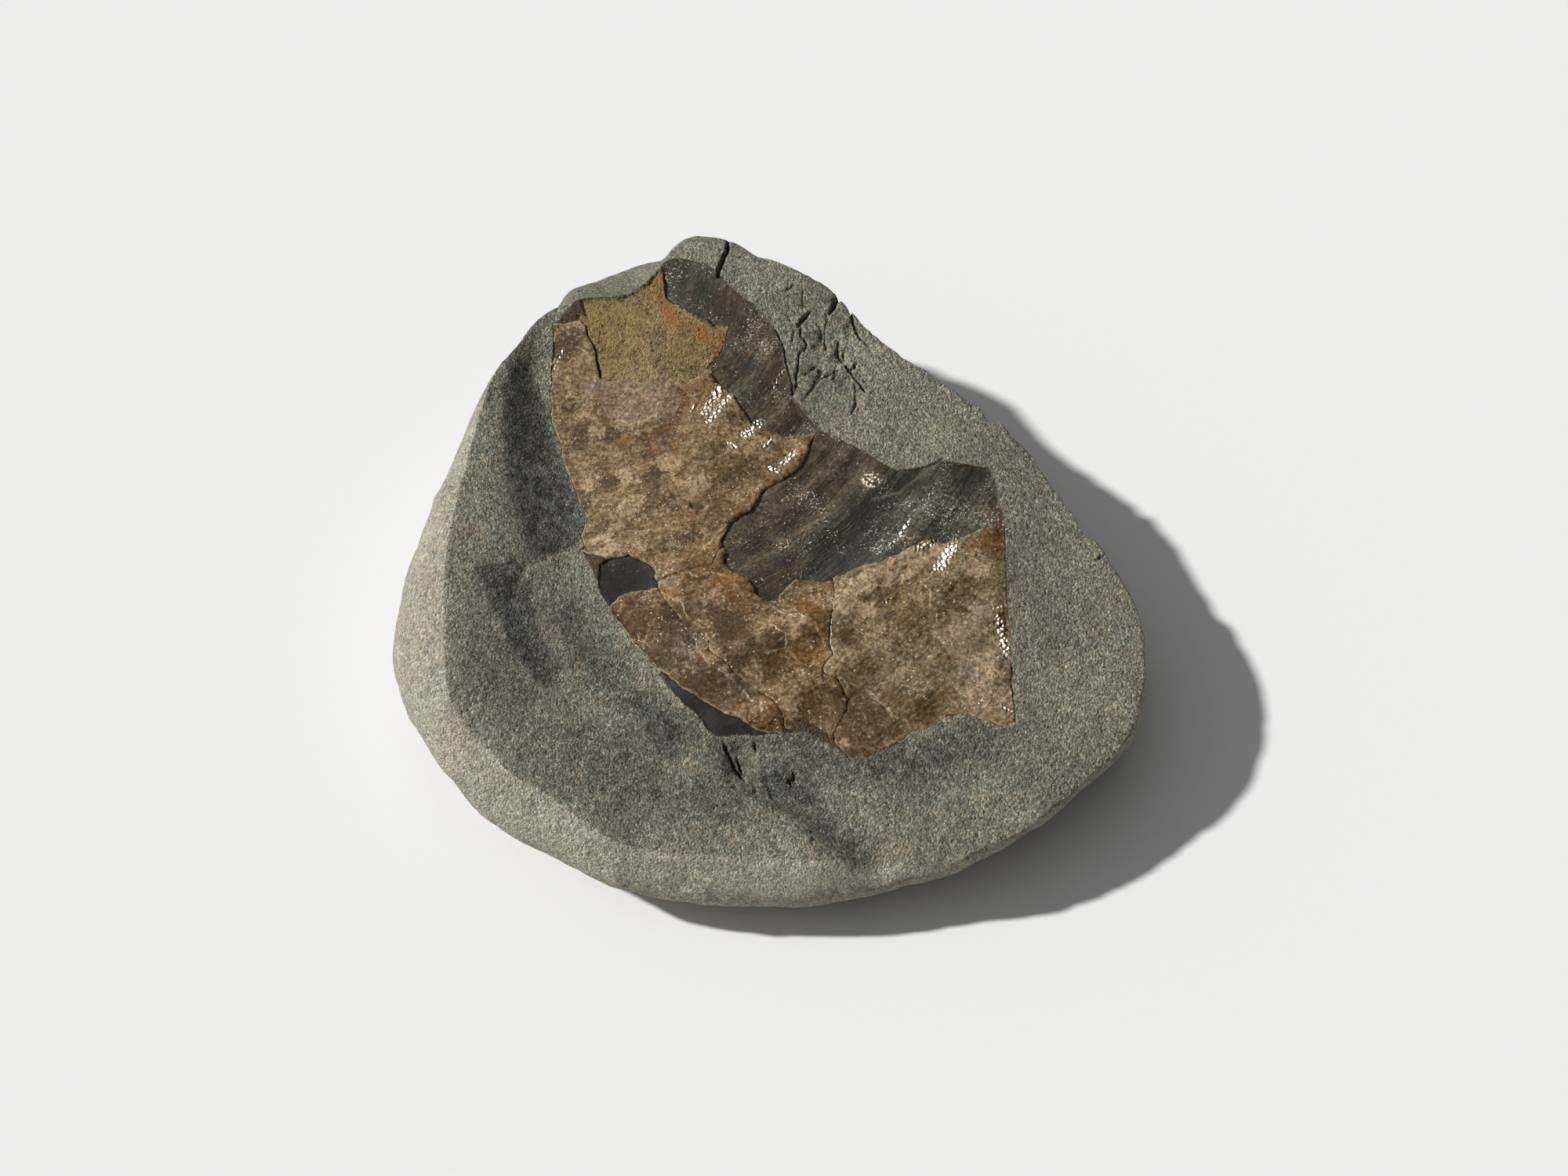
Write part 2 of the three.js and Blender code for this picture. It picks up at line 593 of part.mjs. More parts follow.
const pieces = [
  { name: 'stone', solid: stoneSolid(), colour: 0x74726a, roughness: 0.92 },
  { name: 'shell_upper', solid: shellSolid(upperOutline), colour: 0x8a7455, roughness: 0.35 },
  { name: 'shell_middle', solid: shellSolid(middleOutline), colour: 0x6e5238, roughness: 0.35 },
  { name: 'shell_lower_left', solid: shellSolid(lowerLeftOutline), colour: 0x6a5038, roughness: 0.35 },
  { name: 'shell_right', solid: shellSolid(rightOutline), colour: 0x77603f, roughness: 0.35 },
];

const fossil = new THREE.Group();
pieces.forEach(({ name, solid, colour, roughness }) => {
  const material = new THREE.MeshStandardMaterial({ color: colour, roughness, metalness: 0 });
  const mesh = new THREE.Mesh(toGeometry(solid), material);
  mesh.name = name;
  fossil.add(mesh);
});

// Row origin: middle of the stone's box, at the bottom
const box = new THREE.Box3().setFromObject(fossil);
const middle = box.getCenter(new THREE.Vector3());
fossil.position.set(-middle.x, -middle.y, -box.min.z);

export default fossil;
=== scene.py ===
# Fossil bivalve on the split face of a sandstone cobble
import math
from itertools import product
import bpy
import numpy as np
from mathutils import Matrix, Vector
from mathutils.geometry import delaunay_2d_cdt


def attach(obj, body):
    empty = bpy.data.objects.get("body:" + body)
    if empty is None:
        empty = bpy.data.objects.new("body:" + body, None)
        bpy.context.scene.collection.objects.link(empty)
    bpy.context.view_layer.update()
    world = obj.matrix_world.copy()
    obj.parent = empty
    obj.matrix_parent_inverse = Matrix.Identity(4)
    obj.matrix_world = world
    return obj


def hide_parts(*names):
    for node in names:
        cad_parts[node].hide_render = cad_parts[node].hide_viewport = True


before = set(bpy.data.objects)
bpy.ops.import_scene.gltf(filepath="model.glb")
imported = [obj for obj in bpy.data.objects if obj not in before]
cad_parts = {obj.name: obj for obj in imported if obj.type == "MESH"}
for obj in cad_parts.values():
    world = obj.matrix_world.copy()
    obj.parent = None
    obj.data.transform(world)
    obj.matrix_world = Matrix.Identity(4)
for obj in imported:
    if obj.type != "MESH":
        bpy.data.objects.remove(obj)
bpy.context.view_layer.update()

# Driving sizes in millimetres, as in the CAD source
STONE_WIDTH = 140
REFERENCE_HEIGHT = 20
BASE_HALF_WIDTH = 33
BASE_HALF_DEPTH = 29
SURFACE_EASE = 2
ROW_SHIFT = (0.866, -3.413)

# Levels below the split face: bare mould, top of the shell, and the seat under it
MOULD_DEPTH = 0.7
SHELL_SINK = 0.05
SHELL_THICKNESS = 0.9
SEAT_DEPTH = 1.25
OUTLINE_JAG = 0.22
MARGIN_EASE = 4
SHELL_GROWTH = 0.02
METRES = 0.001
TURN = 2 * math.pi

# How the photograph was taken
PHOTO_WIDTH = 2000
PHOTO_MIDDLE = (1000, 750)
STONE_MIDDLE = (984, 727)
STONE_WIDTH_IN_PHOTO = 958
LENS_LENGTH = 60
SENSOR_WIDTH = 36
ELEVATION = math.radians(57)

FOCAL = PHOTO_WIDTH * LENS_LENGTH / SENSOR_WIDTH
PIXELS_PER_MM = STONE_WIDTH_IN_PHOTO / STONE_WIDTH
RIGHTWARD = np.array([1.0, 0.0, 0.0])
UPWARD = np.array([0.0, math.sin(ELEVATION), math.cos(ELEVATION)])
TO_CAMERA = np.array([0.0, -math.cos(ELEVATION), math.sin(ELEVATION)])
CAMERA_SPOT = (
    np.array([0.0, 0.0, REFERENCE_HEIGHT])
    + RIGHTWARD * (PHOTO_MIDDLE[0] - STONE_MIDDLE[0]) / PIXELS_PER_MM
    - UPWARD * (PHOTO_MIDDLE[1] - STONE_MIDDLE[1]) / PIXELS_PER_MM
    + TO_CAMERA * FOCAL / PIXELS_PER_MM
)

# Edge of the split face, clockwise from the knob at the back: photo x, photo y,
# height, how far the outer wall bulges past the edge, how far below it is widest
FACE_EDGE = [
    886, 301, 33.5, 1, 5, 936, 308, 33.4, 1, 5, 964, 323, 33, 1, 5, 1002, 337, 32.4, 1, 5,
    1037, 355, 31.8, 1, 5, 1068, 378, 31, 0.8, 5, 1102, 416, 30, 0.8, 5, 1124, 435, 29.5, 0.8, 5,
    1171, 467, 28.6, 0.8, 5, 1217, 497, 27.6, 0.8, 5, 1248, 520, 26.8, 0.5, 5,
    1262, 540, 26.2, 0.5, 5, 1273, 536, 26.2, 0.5, 5, 1288, 551, 25.8, 0.6, 5,
    1315, 580, 25, 0.6, 5, 1339, 616, 24.2, 0.6, 5, 1364, 650, 23.5, 0.6, 5, 1384, 681, 23, 0.6, 5,
    1405, 696, 22.6, 0.6, 5, 1423, 726, 22.2, 0.6, 5, 1451, 777, 21.3, 0.6, 5,
    1461, 849, 20.3, 0.6, 5, 1459, 887, 19.6, 0.6, 5, 1447, 925, 19, 0.6, 5,
    1434, 944, 18.6, 0.4, 3, 1409, 975, 18, 0.3, 2, 1388, 990, 17.6, 0.3, 1.6,
    1352, 1025, 17, 0.3, 1.4, 1294, 1063, 16.6, 0.4, 1.6, 1256, 1080, 16.4, 0.6, 2.4,
    1218, 1092, 16.3, 1, 3.4, 1171, 1098, 16.3, 1.8, 4.6, 1120, 1100, 16.4, 3, 6,
    1044, 1098, 16.8, 4.6, 7.7, 967, 1094, 17.4, 5.2, 8.6, 915, 1091, 18, 5.5, 8.8,
    861, 1088, 18.4, 5.2, 8.2, 821, 1082, 18.8, 5.2, 7.6, 781, 1072, 19.2, 5, 7,
    740, 1045, 19.7, 5.8, 6.8, 695, 1012, 20.4, 6.8, 8, 655, 990, 21, 6.3, 7.8,
    628, 962, 21.8, 6.9, 7.6, 599, 935, 22.8, 6.3, 7.6, 580, 906, 23.8, 6.4, 8.6,
    570, 874, 24.6, 7.3, 10, 567, 850, 25, 8.7, 11.6, 566, 790, 25.8, 11.1, 14,
    567, 730, 26.6, 9.8, 13, 570, 691, 27, 8.6, 12, 579, 652, 27.4, 7.2, 11, 589, 610, 27.8, 6, 10,
    600, 568, 28.2, 4.4, 8, 609, 535, 28.5, 3.2, 7, 618, 508, 28.8, 2.2, 6, 628, 480, 29.1, 1.2, 6,
    657, 442, 29.6, 1, 6, 678, 416, 30, 1.2, 6, 703, 394, 30.4, 2, 7, 722, 388, 30.8, 4.5, 8,
    744, 379, 31.2, 7.6, 9, 775, 378, 31.6, 10.5, 10, 806, 370, 32, 11.4, 11,
    830, 352, 32.6, 9, 10, 848, 332, 33.2, 4, 8, 860, 314, 33.4, 1.2, 6,
]

# Heights read on the split face and the fossil: photo x, photo y, height
LEFT_SLOPE = [
    650, 475, 28.6, 676, 470, 26.7, 693, 462, 26.4, 641, 503, 28.4, 665, 505, 26.7, 688, 505, 25,
    699, 503, 25.1, 635, 560, 27.6, 660, 560, 25.9, 685, 561, 24, 704, 562, 23.3, 640, 640, 26.6,
    668, 640, 24.9, 700, 640, 22.8, 730, 640, 21.9, 630, 695, 26.2, 665, 690, 24.8, 702, 692, 22.7,
    736, 690, 21.5, 620, 750, 25.5, 655, 750, 24, 690, 745, 22.5, 730, 755, 21.4, 615, 810, 25,
    650, 805, 23.5, 682, 810, 21.9, 735, 815, 20.7, 612, 860, 24.2, 660, 865, 22.4, 705, 880, 20.8,
    650, 920, 22,
]
FRONT_FIELD = [
    770, 800, 20.2, 800, 845, 19.5, 850, 897, 18.8, 885, 928, 18.5, 800, 900, 19.3, 760, 960, 19.2,
    700, 960, 20.2, 850, 960, 18.9, 800, 1030, 19.1, 880, 1020, 19, 915, 965, 18.9,
    930, 1020, 18.7, 950, 1065, 18.2, 1000, 1060, 18, 1045, 1085, 17.2, 1045, 985, 17.9,
    1100, 1030, 17.4, 1180, 1030, 17.7, 1250, 1010, 18.2, 1330, 960, 19.2, 1400, 900, 19.9,
    1150, 975, 18.8, 1100, 992, 18.2, 1200, 942, 19.7, 1270, 950, 19.9, 1330, 920, 20.3,
]
RIGHT_FIELD = [
    1330, 850, 22.3, 1400, 800, 21.9, 1322, 780, 24.2, 1350, 720, 24, 1312, 700, 25.4,
    1320, 640, 25.3, 1290, 600, 26.2, 1230, 560, 27, 1170, 540, 28, 1150, 500, 28.8, 1100, 530, 29,
    1080, 470, 30, 1040, 430, 31, 1000, 390, 32.2, 960, 350, 33, 1060, 520, 29.4, 1284, 690, 26.4,
    1288, 760, 25.1, 1291, 840, 23.3, 1296, 915, 21.3,
]
VALVE = [
    880, 350, 33.8, 900, 400, 33.2, 950, 430, 32.3, 970, 500, 30.9, 790, 400, 31.2, 780, 440, 30,
    850, 430, 31.9, 830, 470, 30.7, 725, 430, 28.9, 740, 470, 27.8, 714, 470, 26.9, 714, 535, 24.6,
    770, 530, 26.8, 820, 510, 28.6, 890, 520, 30, 950, 560, 29.7, 1010, 575, 29.4, 740, 600, 23.4,
    800, 600, 25.6, 870, 600, 27.8, 950, 620, 28.4, 780, 660, 23.8, 850, 680, 26.1, 900, 680, 26.9,
    1000, 640, 28.2, 1060, 600, 28.7, 1120, 620, 28.1, 980, 720, 26.2, 1060, 700, 26.4,
    1150, 650, 27.5, 1220, 640, 27.2, 1260, 640, 26.8, 790, 735, 22, 850, 760, 23.7,
    930, 760, 25.4, 1000, 800, 24.6, 1030, 870, 22.7, 1000, 900, 21.5, 1050, 920, 20.6,
    800, 785, 21.4, 860, 830, 22.1, 900, 868, 21.6, 950, 898, 20.8, 975, 918, 20.2, 1100, 780, 25,
    1150, 740, 26, 1200, 740, 26, 1180, 820, 24.2, 1250, 800, 24.1, 1120, 880, 22.2,
    1200, 880, 22.3, 1260, 880, 22.2, 1090, 945, 20,
]

# Outlines on the fossil, in photo pixels: x, y, x, y and so on
OCHRE_OUTLINE = [
    740, 381, 757, 378, 775, 381, 790, 380, 806, 373, 824, 361, 838, 344, 845, 350, 848, 377,
    866, 386, 875, 397, 902, 413, 929, 412, 927, 428, 915, 451, 900, 469, 889, 480, 873, 487,
    846, 482, 815, 483, 772, 479, 766, 460, 759, 442, 750, 422,
]
FOSSIL_OUTLINE = [
    844, 337, 880, 331, 913, 346, 953, 382, 988, 420, 999, 462, 1012, 505, 1048, 550, 1102, 575,
    1147, 601, 1203, 585, 1262, 596, 1284, 673, 1292, 870, 1298, 926, 1235, 909, 1164, 929,
    1086, 970, 1029, 936, 953, 939, 915, 939, 855, 872, 777, 775, 740, 703, 751, 663, 705, 538,
    704, 470, 707, 412, 736, 377, 806, 373,
]
BARE_MOULD_OUTLINES = [
    [844, 337, 860, 330, 880, 331, 902, 337, 913, 346, 931, 366, 953, 382, 971, 397, 988, 420,
     995, 441, 999, 462, 1004, 481, 1012, 505, 1022, 530, 1048, 550, 1071, 560, 1102, 575,
     1127, 592, 1147, 601, 1177, 596, 1203, 585, 1217, 595, 1262, 596, 1271, 615, 1273, 637,
     1281, 654, 1286, 680, 1240, 720, 1100, 760, 1000, 790, 900, 740, 900, 640, 880, 560, 860, 500,
     905, 460, 925, 425, 900, 405, 870, 392, 850, 378],
    [763, 748, 765, 722, 786, 700, 840, 700, 860, 760, 800, 790, 777, 772],
    [846, 856, 880, 880, 1000, 915, 1010, 934, 993, 934, 953, 938, 931, 940, 915, 939, 899, 924,
     880, 902, 858, 880, 839, 858],
]
# Pieces of shell that lie on the mould, by node name
SHELL_OUTLINES = {
    "shell_upper": [
        707, 412, 719, 414, 739, 407, 745, 414, 757, 443, 765, 482, 803, 487, 836, 486, 866, 493,
        879, 488, 898, 476, 905, 475, 916, 488, 935, 505, 945, 521, 957, 538, 973, 550, 1000, 556,
        1040, 555, 1032, 568, 1025, 587, 1016, 599, 997, 613, 973, 625, 957, 653, 940, 659,
        928, 672, 916, 696, 905, 718, 870, 726, 841, 736, 834, 727, 822, 715, 803, 708, 773, 714,
        740, 703, 747, 696, 741, 684, 751, 663, 737, 635, 725, 606, 714, 564, 705, 538, 703, 507,
        704, 470,
    ],
    "shell_middle": [
        843, 741, 871, 731, 908, 723, 921, 702, 920, 713, 936, 730, 956, 741, 964, 758, 978, 768,
        992, 763, 998, 755, 1015, 738, 1037, 741, 1060, 746, 1060, 764, 1058, 787, 1056, 800,
        1053, 819, 1058, 837, 1047, 849, 1045, 860, 1062, 868, 1069, 880, 1077, 893, 1073, 908,
        1068, 917, 1060, 938, 1040, 926, 1024, 922, 1004, 925, 1004, 919, 994, 900, 973, 882,
        955, 869, 937, 856, 922, 842, 908, 830, 910, 817, 897, 803, 883, 801, 871, 789, 858, 772,
        844, 751,
    ],
    "shell_lower_left": [
        778, 775, 790, 760, 804, 755, 830, 750, 838, 754, 852, 776, 866, 794, 880, 808, 893, 810,
        902, 819, 901, 831, 917, 847, 933, 861, 951, 874, 969, 887, 989, 905, 999, 921, 993, 932,
        980, 935, 964, 928, 938, 915, 915, 903, 895, 893, 868, 874, 855, 865, 837, 848, 824, 834,
        806, 819, 790, 796,
    ],
    "shell_right": [
        1067, 739, 1082, 730, 1099, 724, 1127, 719, 1144, 711, 1161, 700, 1183, 691, 1203, 693,
        1225, 687, 1253, 677, 1281, 675, 1283, 755, 1288, 801, 1289, 870, 1294, 922, 1277, 925,
        1258, 918, 1235, 909, 1210, 911, 1190, 925, 1164, 929, 1150, 941, 1116, 961, 1086, 970,
        1069, 950, 1068, 938, 1077, 918, 1084, 909, 1087, 892, 1078, 878, 1070, 863, 1053, 859,
        1055, 852, 1066, 840, 1062, 819, 1064, 801, 1065, 788, 1066, 776, 1067, 765, 1066, 754,
    ],
}
SHELL_HOLE = [
    878, 641, 886, 639, 896, 641, 902, 645, 895, 649, 882, 648,
]

# Rough valley in front of the fossil: steep on its left, easing out on its right
VALLEY_ROUTE = [
    920, 940, 934, 985, 962, 1003, 990, 1018, 1017, 1038, 1042, 1056, 1062, 1074, 1083, 1090,
    1100, 1103,
]
VALLEY_DEPTH = 2.4
VALLEY_BANK = 3
VALLEY_EASE = 6
VALLEY_START = 2.5

# Growth ribs by their distance from the hinge end: crest, half width and height
RIB_HUB = (-30, 62)
RIB_STRETCH = 1.165
RIB_FADE = 3
# Growth distances of rib flanks that get painted light (lit) and painted shade (dark)
LIT_FLANKS = [39.5, 48.5, 58, 64.5, 71.8, 85.9, 96.8, 112]
DARK_FLANKS = [53.4, 67.1, 79.8, 89.4, 104]
RIB_ROWS = [
    (32, 3.5, 0.4), (41.5, 3.2, 0.6), (51, 3.2, 0.7), (60.5, 2.6, 0.6), (66.2, 2.0, 0.35),
    (74.5, 3.4, 0.8), (88, 4.2, 1.2), (99.5, 4.0, 0.9), (110, 3.6, 0.6),
]

# Cracks in the stone: width and depth in millimetres, then the route in photo pixels
CRACKS = [
    [0.75, 3, 930, 306, 922, 335, 914, 354], [0.8, 2, 1071, 374, 1057, 403],
    [0.7, 2, 1034, 395, 1016, 418], [0.35, 1.5, 1081, 390, 1089, 410, 1098, 436],
    [0.35, 1, 1070, 434, 1069, 455, 1073, 461, 1085, 476, 1104, 501],
    [0.3, 0.8, 1079, 443, 1074, 460], [0.22, 0.7, 1013, 362, 1001, 373],
    [0.22, 0.7, 1013, 417, 1011, 438],
    [0.28, 0.9, 1021, 416, 1022, 428, 1029, 438, 1026, 445, 1020, 449, 1018, 456, 1018, 466,
     1016, 481, 1014, 492, 1012, 504],
    [0.35, 0.7, 1067, 470, 1062, 476, 1053, 481, 1045, 484], [0.2, 0.6, 1048, 418, 1048, 431],
    [0.22, 0.6, 1053, 434, 1056, 444], [0.2, 0.5, 1007, 405, 1007, 412],
    [0.2, 0.5, 1055, 479, 1042, 489, 1032, 500, 1021, 514],
    [0.3, 0.8, 938, 958, 941, 968, 948, 983], [0.25, 0.6, 987, 994, 993, 993],
    [0.3, 0.8, 1043, 465, 1025, 478], [0.35, 0.8, 1068, 470, 1061, 487],
    [0.18, 0.5, 1023, 369, 1024, 393], [0.18, 0.5, 1056, 405, 1052, 425, 1054, 448],
    [0.22, 0.6, 1085, 472, 1094, 463], [0.2, 0.5, 1050, 474, 1036, 492, 1029, 503],
    [0.22, 0.6, 1088, 488, 1091, 499, 1091, 514, 1085, 529],
    [0.3, 0.6, 989, 417, 996, 433, 1001, 455, 1007, 479, 1012, 505],
    [0.3, 0.8, 1395, 714, 1411, 707],
    [0.5, 1.2, 923, 944, 926, 952, 931, 963, 936, 975, 944, 983, 950, 992],
    [0.4, 1, 1012, 977, 1015, 984, 1012, 989, 1006, 990, 1010, 997, 1013, 1001],
    [0.3, 0.8, 993, 996, 999, 1001], [0.4, 0.8, 961, 943, 964, 955],
    [0.25, 0.6, 668, 470, 675, 473], [0.45, 1, 744, 412, 754, 436, 757, 446, 765, 470, 767, 482],
]

# Small ledges on the stone: step in millimetres, then the route with its high side on the left
LEDGES = [
    [0.55, 740, 700, 711, 706, 675, 727, 660, 748, 657, 772, 672, 796, 702, 841],
    [0.4, 671, 1042, 687, 1061, 706, 1074], [0.4, 1022, 372, 1048, 400, 1056, 440, 1050, 470],
    [0.35, 1046, 392, 1072, 425, 1082, 462], [0.35, 1092, 470, 1085, 495, 1095, 515],
    [0.3, 1102, 502, 1095, 514, 1088, 526], [-0.35, 958, 944, 975, 962, 1003, 985],
    [-0.12, 942, 373, 934, 395, 930, 414],
]

# Thin flakes on the shell: pale broken edges, with the high side on the left
FLAKE_EDGES = [
    [891, 504, 855, 514, 832, 531, 808, 540],
    [933, 669, 915, 687, 895, 699, 883, 693, 881, 681, 867, 674, 827, 676, 798, 679, 770, 685,
     752, 690],
    [905, 700, 880, 712, 850, 716, 838, 700, 822, 690, 800, 694, 776, 700],
    [1068, 774, 1096, 761, 1132, 745, 1160, 722, 1200, 716, 1250, 700, 1281, 694],
    [1130, 902, 1138, 916, 1152, 920, 1162, 928], [1068, 862, 1079, 879, 1083, 905],
    [843, 753, 867, 768, 878, 790], [960, 790, 985, 800, 1003, 812, 1000, 830, 975, 838],
    [1015, 780, 1040, 800, 1050, 822], [880, 812, 905, 850, 935, 870, 960, 895],
    [946, 917, 944, 906, 971, 901, 987, 903], [712, 508, 726, 514, 741, 512, 752, 498, 767, 490],
    [738, 600, 756, 593, 776, 591, 790, 598, 796, 620, 790, 642],
    [753, 687, 774, 676, 789, 662, 807, 656], [897, 692, 911, 685, 927, 674],
    [848, 748, 860, 738, 878, 733, 909, 732, 930, 738], [894, 592, 910, 588, 930, 574],
    [970, 590, 978, 576, 990, 566, 1010, 553],
    [866, 786, 875, 800, 886, 808, 902, 813, 906, 826, 894, 832, 880, 824],
    [870, 831, 897, 836, 909, 851, 931, 862],
    [985, 773, 1005, 786, 1028, 795, 1005, 813, 990, 824], [1070, 756, 1090, 748, 1106, 750],
    [1068, 781, 1073, 771, 1084, 760, 1096, 752],
    [1168, 750, 1180, 746, 1188, 756, 1186, 774, 1194, 788], [1236, 778, 1254, 780, 1272, 774],
    [1216, 830, 1217, 810, 1236, 802, 1264, 808, 1280, 828],
    [1086, 872, 1108, 882, 1126, 900, 1136, 916],
    [1050, 772, 1052, 766, 1059, 765, 1064, 771, 1061, 779, 1053, 780],
]

# Strips of small tilted facets that catch the light: half width, then the route
GLINTS = [
    [1.5, 918, 498, 909, 511, 899, 526], [1, 929, 508, 917, 523, 904, 539],
    [1.6, 967, 539, 951, 555], [0.6, 930, 565, 939, 572], [0.5, 887, 516, 881, 524],
    [1.05, 1012, 579, 997, 592], [0.8, 981, 596, 994, 602], [0.7, 1160, 664, 1147, 684],
    [0.5, 1141, 690, 1132, 700], [1.15, 1190, 692, 1171, 701],
    [1.75, 1220, 692, 1209, 708, 1198, 725], [1.2, 1275, 790, 1278, 810, 1285, 834],
    [0.5, 1280, 774, 1267, 779], [0.4, 1254, 890, 1250, 897], [0.4, 1275, 900, 1292, 908],
    [0.4, 717, 448, 706, 472], [0.35, 1140, 762, 1128, 770], [0.35, 795, 486, 812, 486],
    [0.5, 985, 560, 975, 572], [0.35, 1000, 470, 985, 495],
]
GLINT_TILT = (0.524, 0.296)
GLINT_CELL = 0.8
GLINT_JITTER = 0.035
GLINT_REACH = 4.0
GLINT_SEED = 301

# Soft spots on the shell: photo x, photo y, radius in millimetres
SHELL_SPOTS = {
    "pale": [
        762, 551, 2.2, 788, 537, 2.8, 800, 610, 2.5, 812, 640, 3, 790, 655, 2.4, 850, 600, 2.6,
        775, 700, 2.4, 880, 640, 2.4, 1150, 731, 2.6, 1100, 748, 2.4, 1200, 705, 2.2, 1010, 800, 3,
        960, 862, 2.5, 1012, 893, 2.2, 1244, 885, 1.8, 1262, 850, 2, 1078, 948, 0.9,
        1146, 731, 2.8, 1164, 718, 2.2, 1106, 778, 2.2, 1250, 724, 2, 890, 618, 3.2, 905, 765, 2.2,
        1040, 765, 1.2, 1060, 600, 1.5, 1015, 570, 2.4, 970, 575, 3,
    ],
    "dark": [
        725, 440, 3, 740, 560, 3, 725, 520, 2.4, 846, 560, 2.6, 1085, 815, 2.2, 1095, 920, 5,
        1100, 950, 4, 930, 800, 3.4, 850, 850, 3.6, 880, 870, 3, 985, 850, 2.6, 915, 780, 2.4,
        1180, 905, 2, 955, 875, 2, 1140, 930, 2,
    ],
    "orange": [
        885, 500, 2.2, 843, 570, 3, 890, 710, 4, 860, 735, 3.6, 1266, 689, 2.8, 1035, 772, 2.6,
        1010, 835, 3.6, 970, 912, 3, 790, 770, 1.8, 920, 745, 3.6, 1040, 830, 2.6, 1055, 740, 1.5,
        940, 905, 2.4, 870, 660, 3, 1115, 960, 2.4, 930, 785, 3.6, 800, 560, 2.4, 900, 845, 1.8,
    ],
    "lilac": [
        805, 498, 4.2, 850, 515, 4, 1232, 818, 4.4, 1250, 790, 3.6, 1245, 850, 3.2, 1010, 900, 2,
        868, 840, 3.4, 830, 820, 2,
    ],
    "crusty": [
        760, 690, 4, 800, 680, 4, 840, 690, 4.5, 880, 690, 4, 915, 690, 3, 780, 655, 3,
        850, 740, 2.5, 1075, 760, 2.5, 1010, 750, 2, 900, 790, 2.5, 880, 830, 3, 1070, 860, 2,
        810, 560, 2.5, 765, 560, 2.5, 1180, 720, 2,
    ],
    "dull": [
        716, 430, 4, 712, 470, 4, 718, 510, 4, 728, 550, 4.5, 740, 600, 5, 758, 640, 5,
        775, 670, 5, 800, 790, 4.5, 825, 820, 5, 860, 850, 5, 900, 875, 4.5, 790, 620, 4,
        790, 520, 6, 790, 570, 6, 835, 540, 5, 830, 600, 6, 865, 570, 5, 870, 640, 5, 830, 650, 5,
        825, 700, 5, 880, 690, 5, 830, 780, 5, 870, 810, 5, 750, 460, 4, 855, 505, 4, 1095, 930, 5,
        1085, 900, 4, 930, 790, 5,
    ],
}
# Patches of the shell with their own tone, by outline
SHELL_PATCHES = {
    "lilac": [
        [768, 486, 838, 488, 868, 500, 850, 516, 832, 531, 800, 541, 778, 536, 762, 512],
        [1216, 812, 1236, 802, 1264, 808, 1280, 830, 1266, 856, 1232, 858, 1216, 836],
    ],
    "dark": [
        [1086, 872, 1108, 882, 1126, 900, 1137, 924, 1120, 956, 1088, 970, 1070, 950, 1080, 910],
        [846, 850, 870, 835, 900, 850, 930, 880, 900, 890, 870, 872],
    ],
    "orange": [
        [868, 502, 880, 500, 893, 509, 890, 528, 868, 530],
        [832, 545, 856, 540, 868, 556, 862, 574, 838, 576, 828, 562],
        [850, 716, 880, 706, 911, 686, 932, 671, 928, 712, 900, 732, 858, 736],
        [1228, 708, 1240, 690, 1282, 680, 1284, 702, 1250, 706],
    ],
    "pale": [
        [786, 524, 800, 524, 802, 548, 790, 552], [754, 548, 770, 541, 775, 556, 762, 562],
        [1066, 764, 1090, 742, 1120, 727, 1150, 712, 1180, 695, 1200, 698, 1186, 714, 1160, 732,
         1130, 750, 1100, 764, 1078, 786, 1066, 792],
        [751, 692, 774, 676, 800, 658, 808, 664, 780, 684, 762, 702],
    ],
}
# Soft spots on the stone and the mould, in the same way
STONE_SPOTS = {
    "yellow": [
        788, 410, 5, 760, 395, 4, 775, 440, 4, 830, 360, 3.5, 872, 445, 3.5,
    ],
    # golden grains, painted near white as a glint
    "gold_grain_glint": [
        1111, 612, 1.7,
    ],
    "dull": [
        865, 350, 6, 895, 365, 6, 925, 390, 6, 945, 420, 5, 930, 930, 5, 975, 930, 5, 880, 905, 5,
        800, 735, 6,
    ],
    # painted shade on the mould where it turns from the light
    "mould_painted_shade": [
        870, 350, 5, 900, 370, 5, 930, 400, 4, 1105, 670, 4, 1090, 690, 3.5, 1075, 715, 3,
        930, 735, 3, 965, 745, 3, 1010, 745, 2.5, 1085, 640, 2.5, 1165, 615, 3, 1250, 610, 2.5,
        1120, 640, 3.5, 1050, 700, 2.5, 1040, 725, 2.5, 960, 690, 2.5, 1000, 715, 2.5,
        1062, 690, 3, 1052, 716, 2.2, 1098, 655, 3.6, 1200, 605, 3, 955, 470, 3,
    ],
    # painted light on the mould where it faces the light
    "mould_painted_light": [
        1170, 660, 4, 1205, 645, 4.5, 1145, 685, 2.5, 1235, 655, 4.5, 990, 690, 1.5, 975, 640, 2,
        1060, 600, 2, 960, 440, 1.8, 1100, 610, 2,
    ],
    "film": [
        768, 742, 1.8, 776, 755, 1.6, 1270, 655, 2.2, 1272, 668, 1.8,
    ],
}
RUST_ROUTE = [
    842, 345, 846, 384, 860, 406, 880, 414, 902, 426, 918, 437, 912, 446,
]
MOULD_SKIN_ROUTE = [
    1127, 595, 1121, 617, 1099, 637, 1054, 657, 1037, 668, 1023, 688, 1017, 707, 1015, 740,
]
VEIN_ROUTE = [
    1262, 540, 1239, 554, 1206, 583, 1183, 600, 1147, 626, 1113, 636,
]
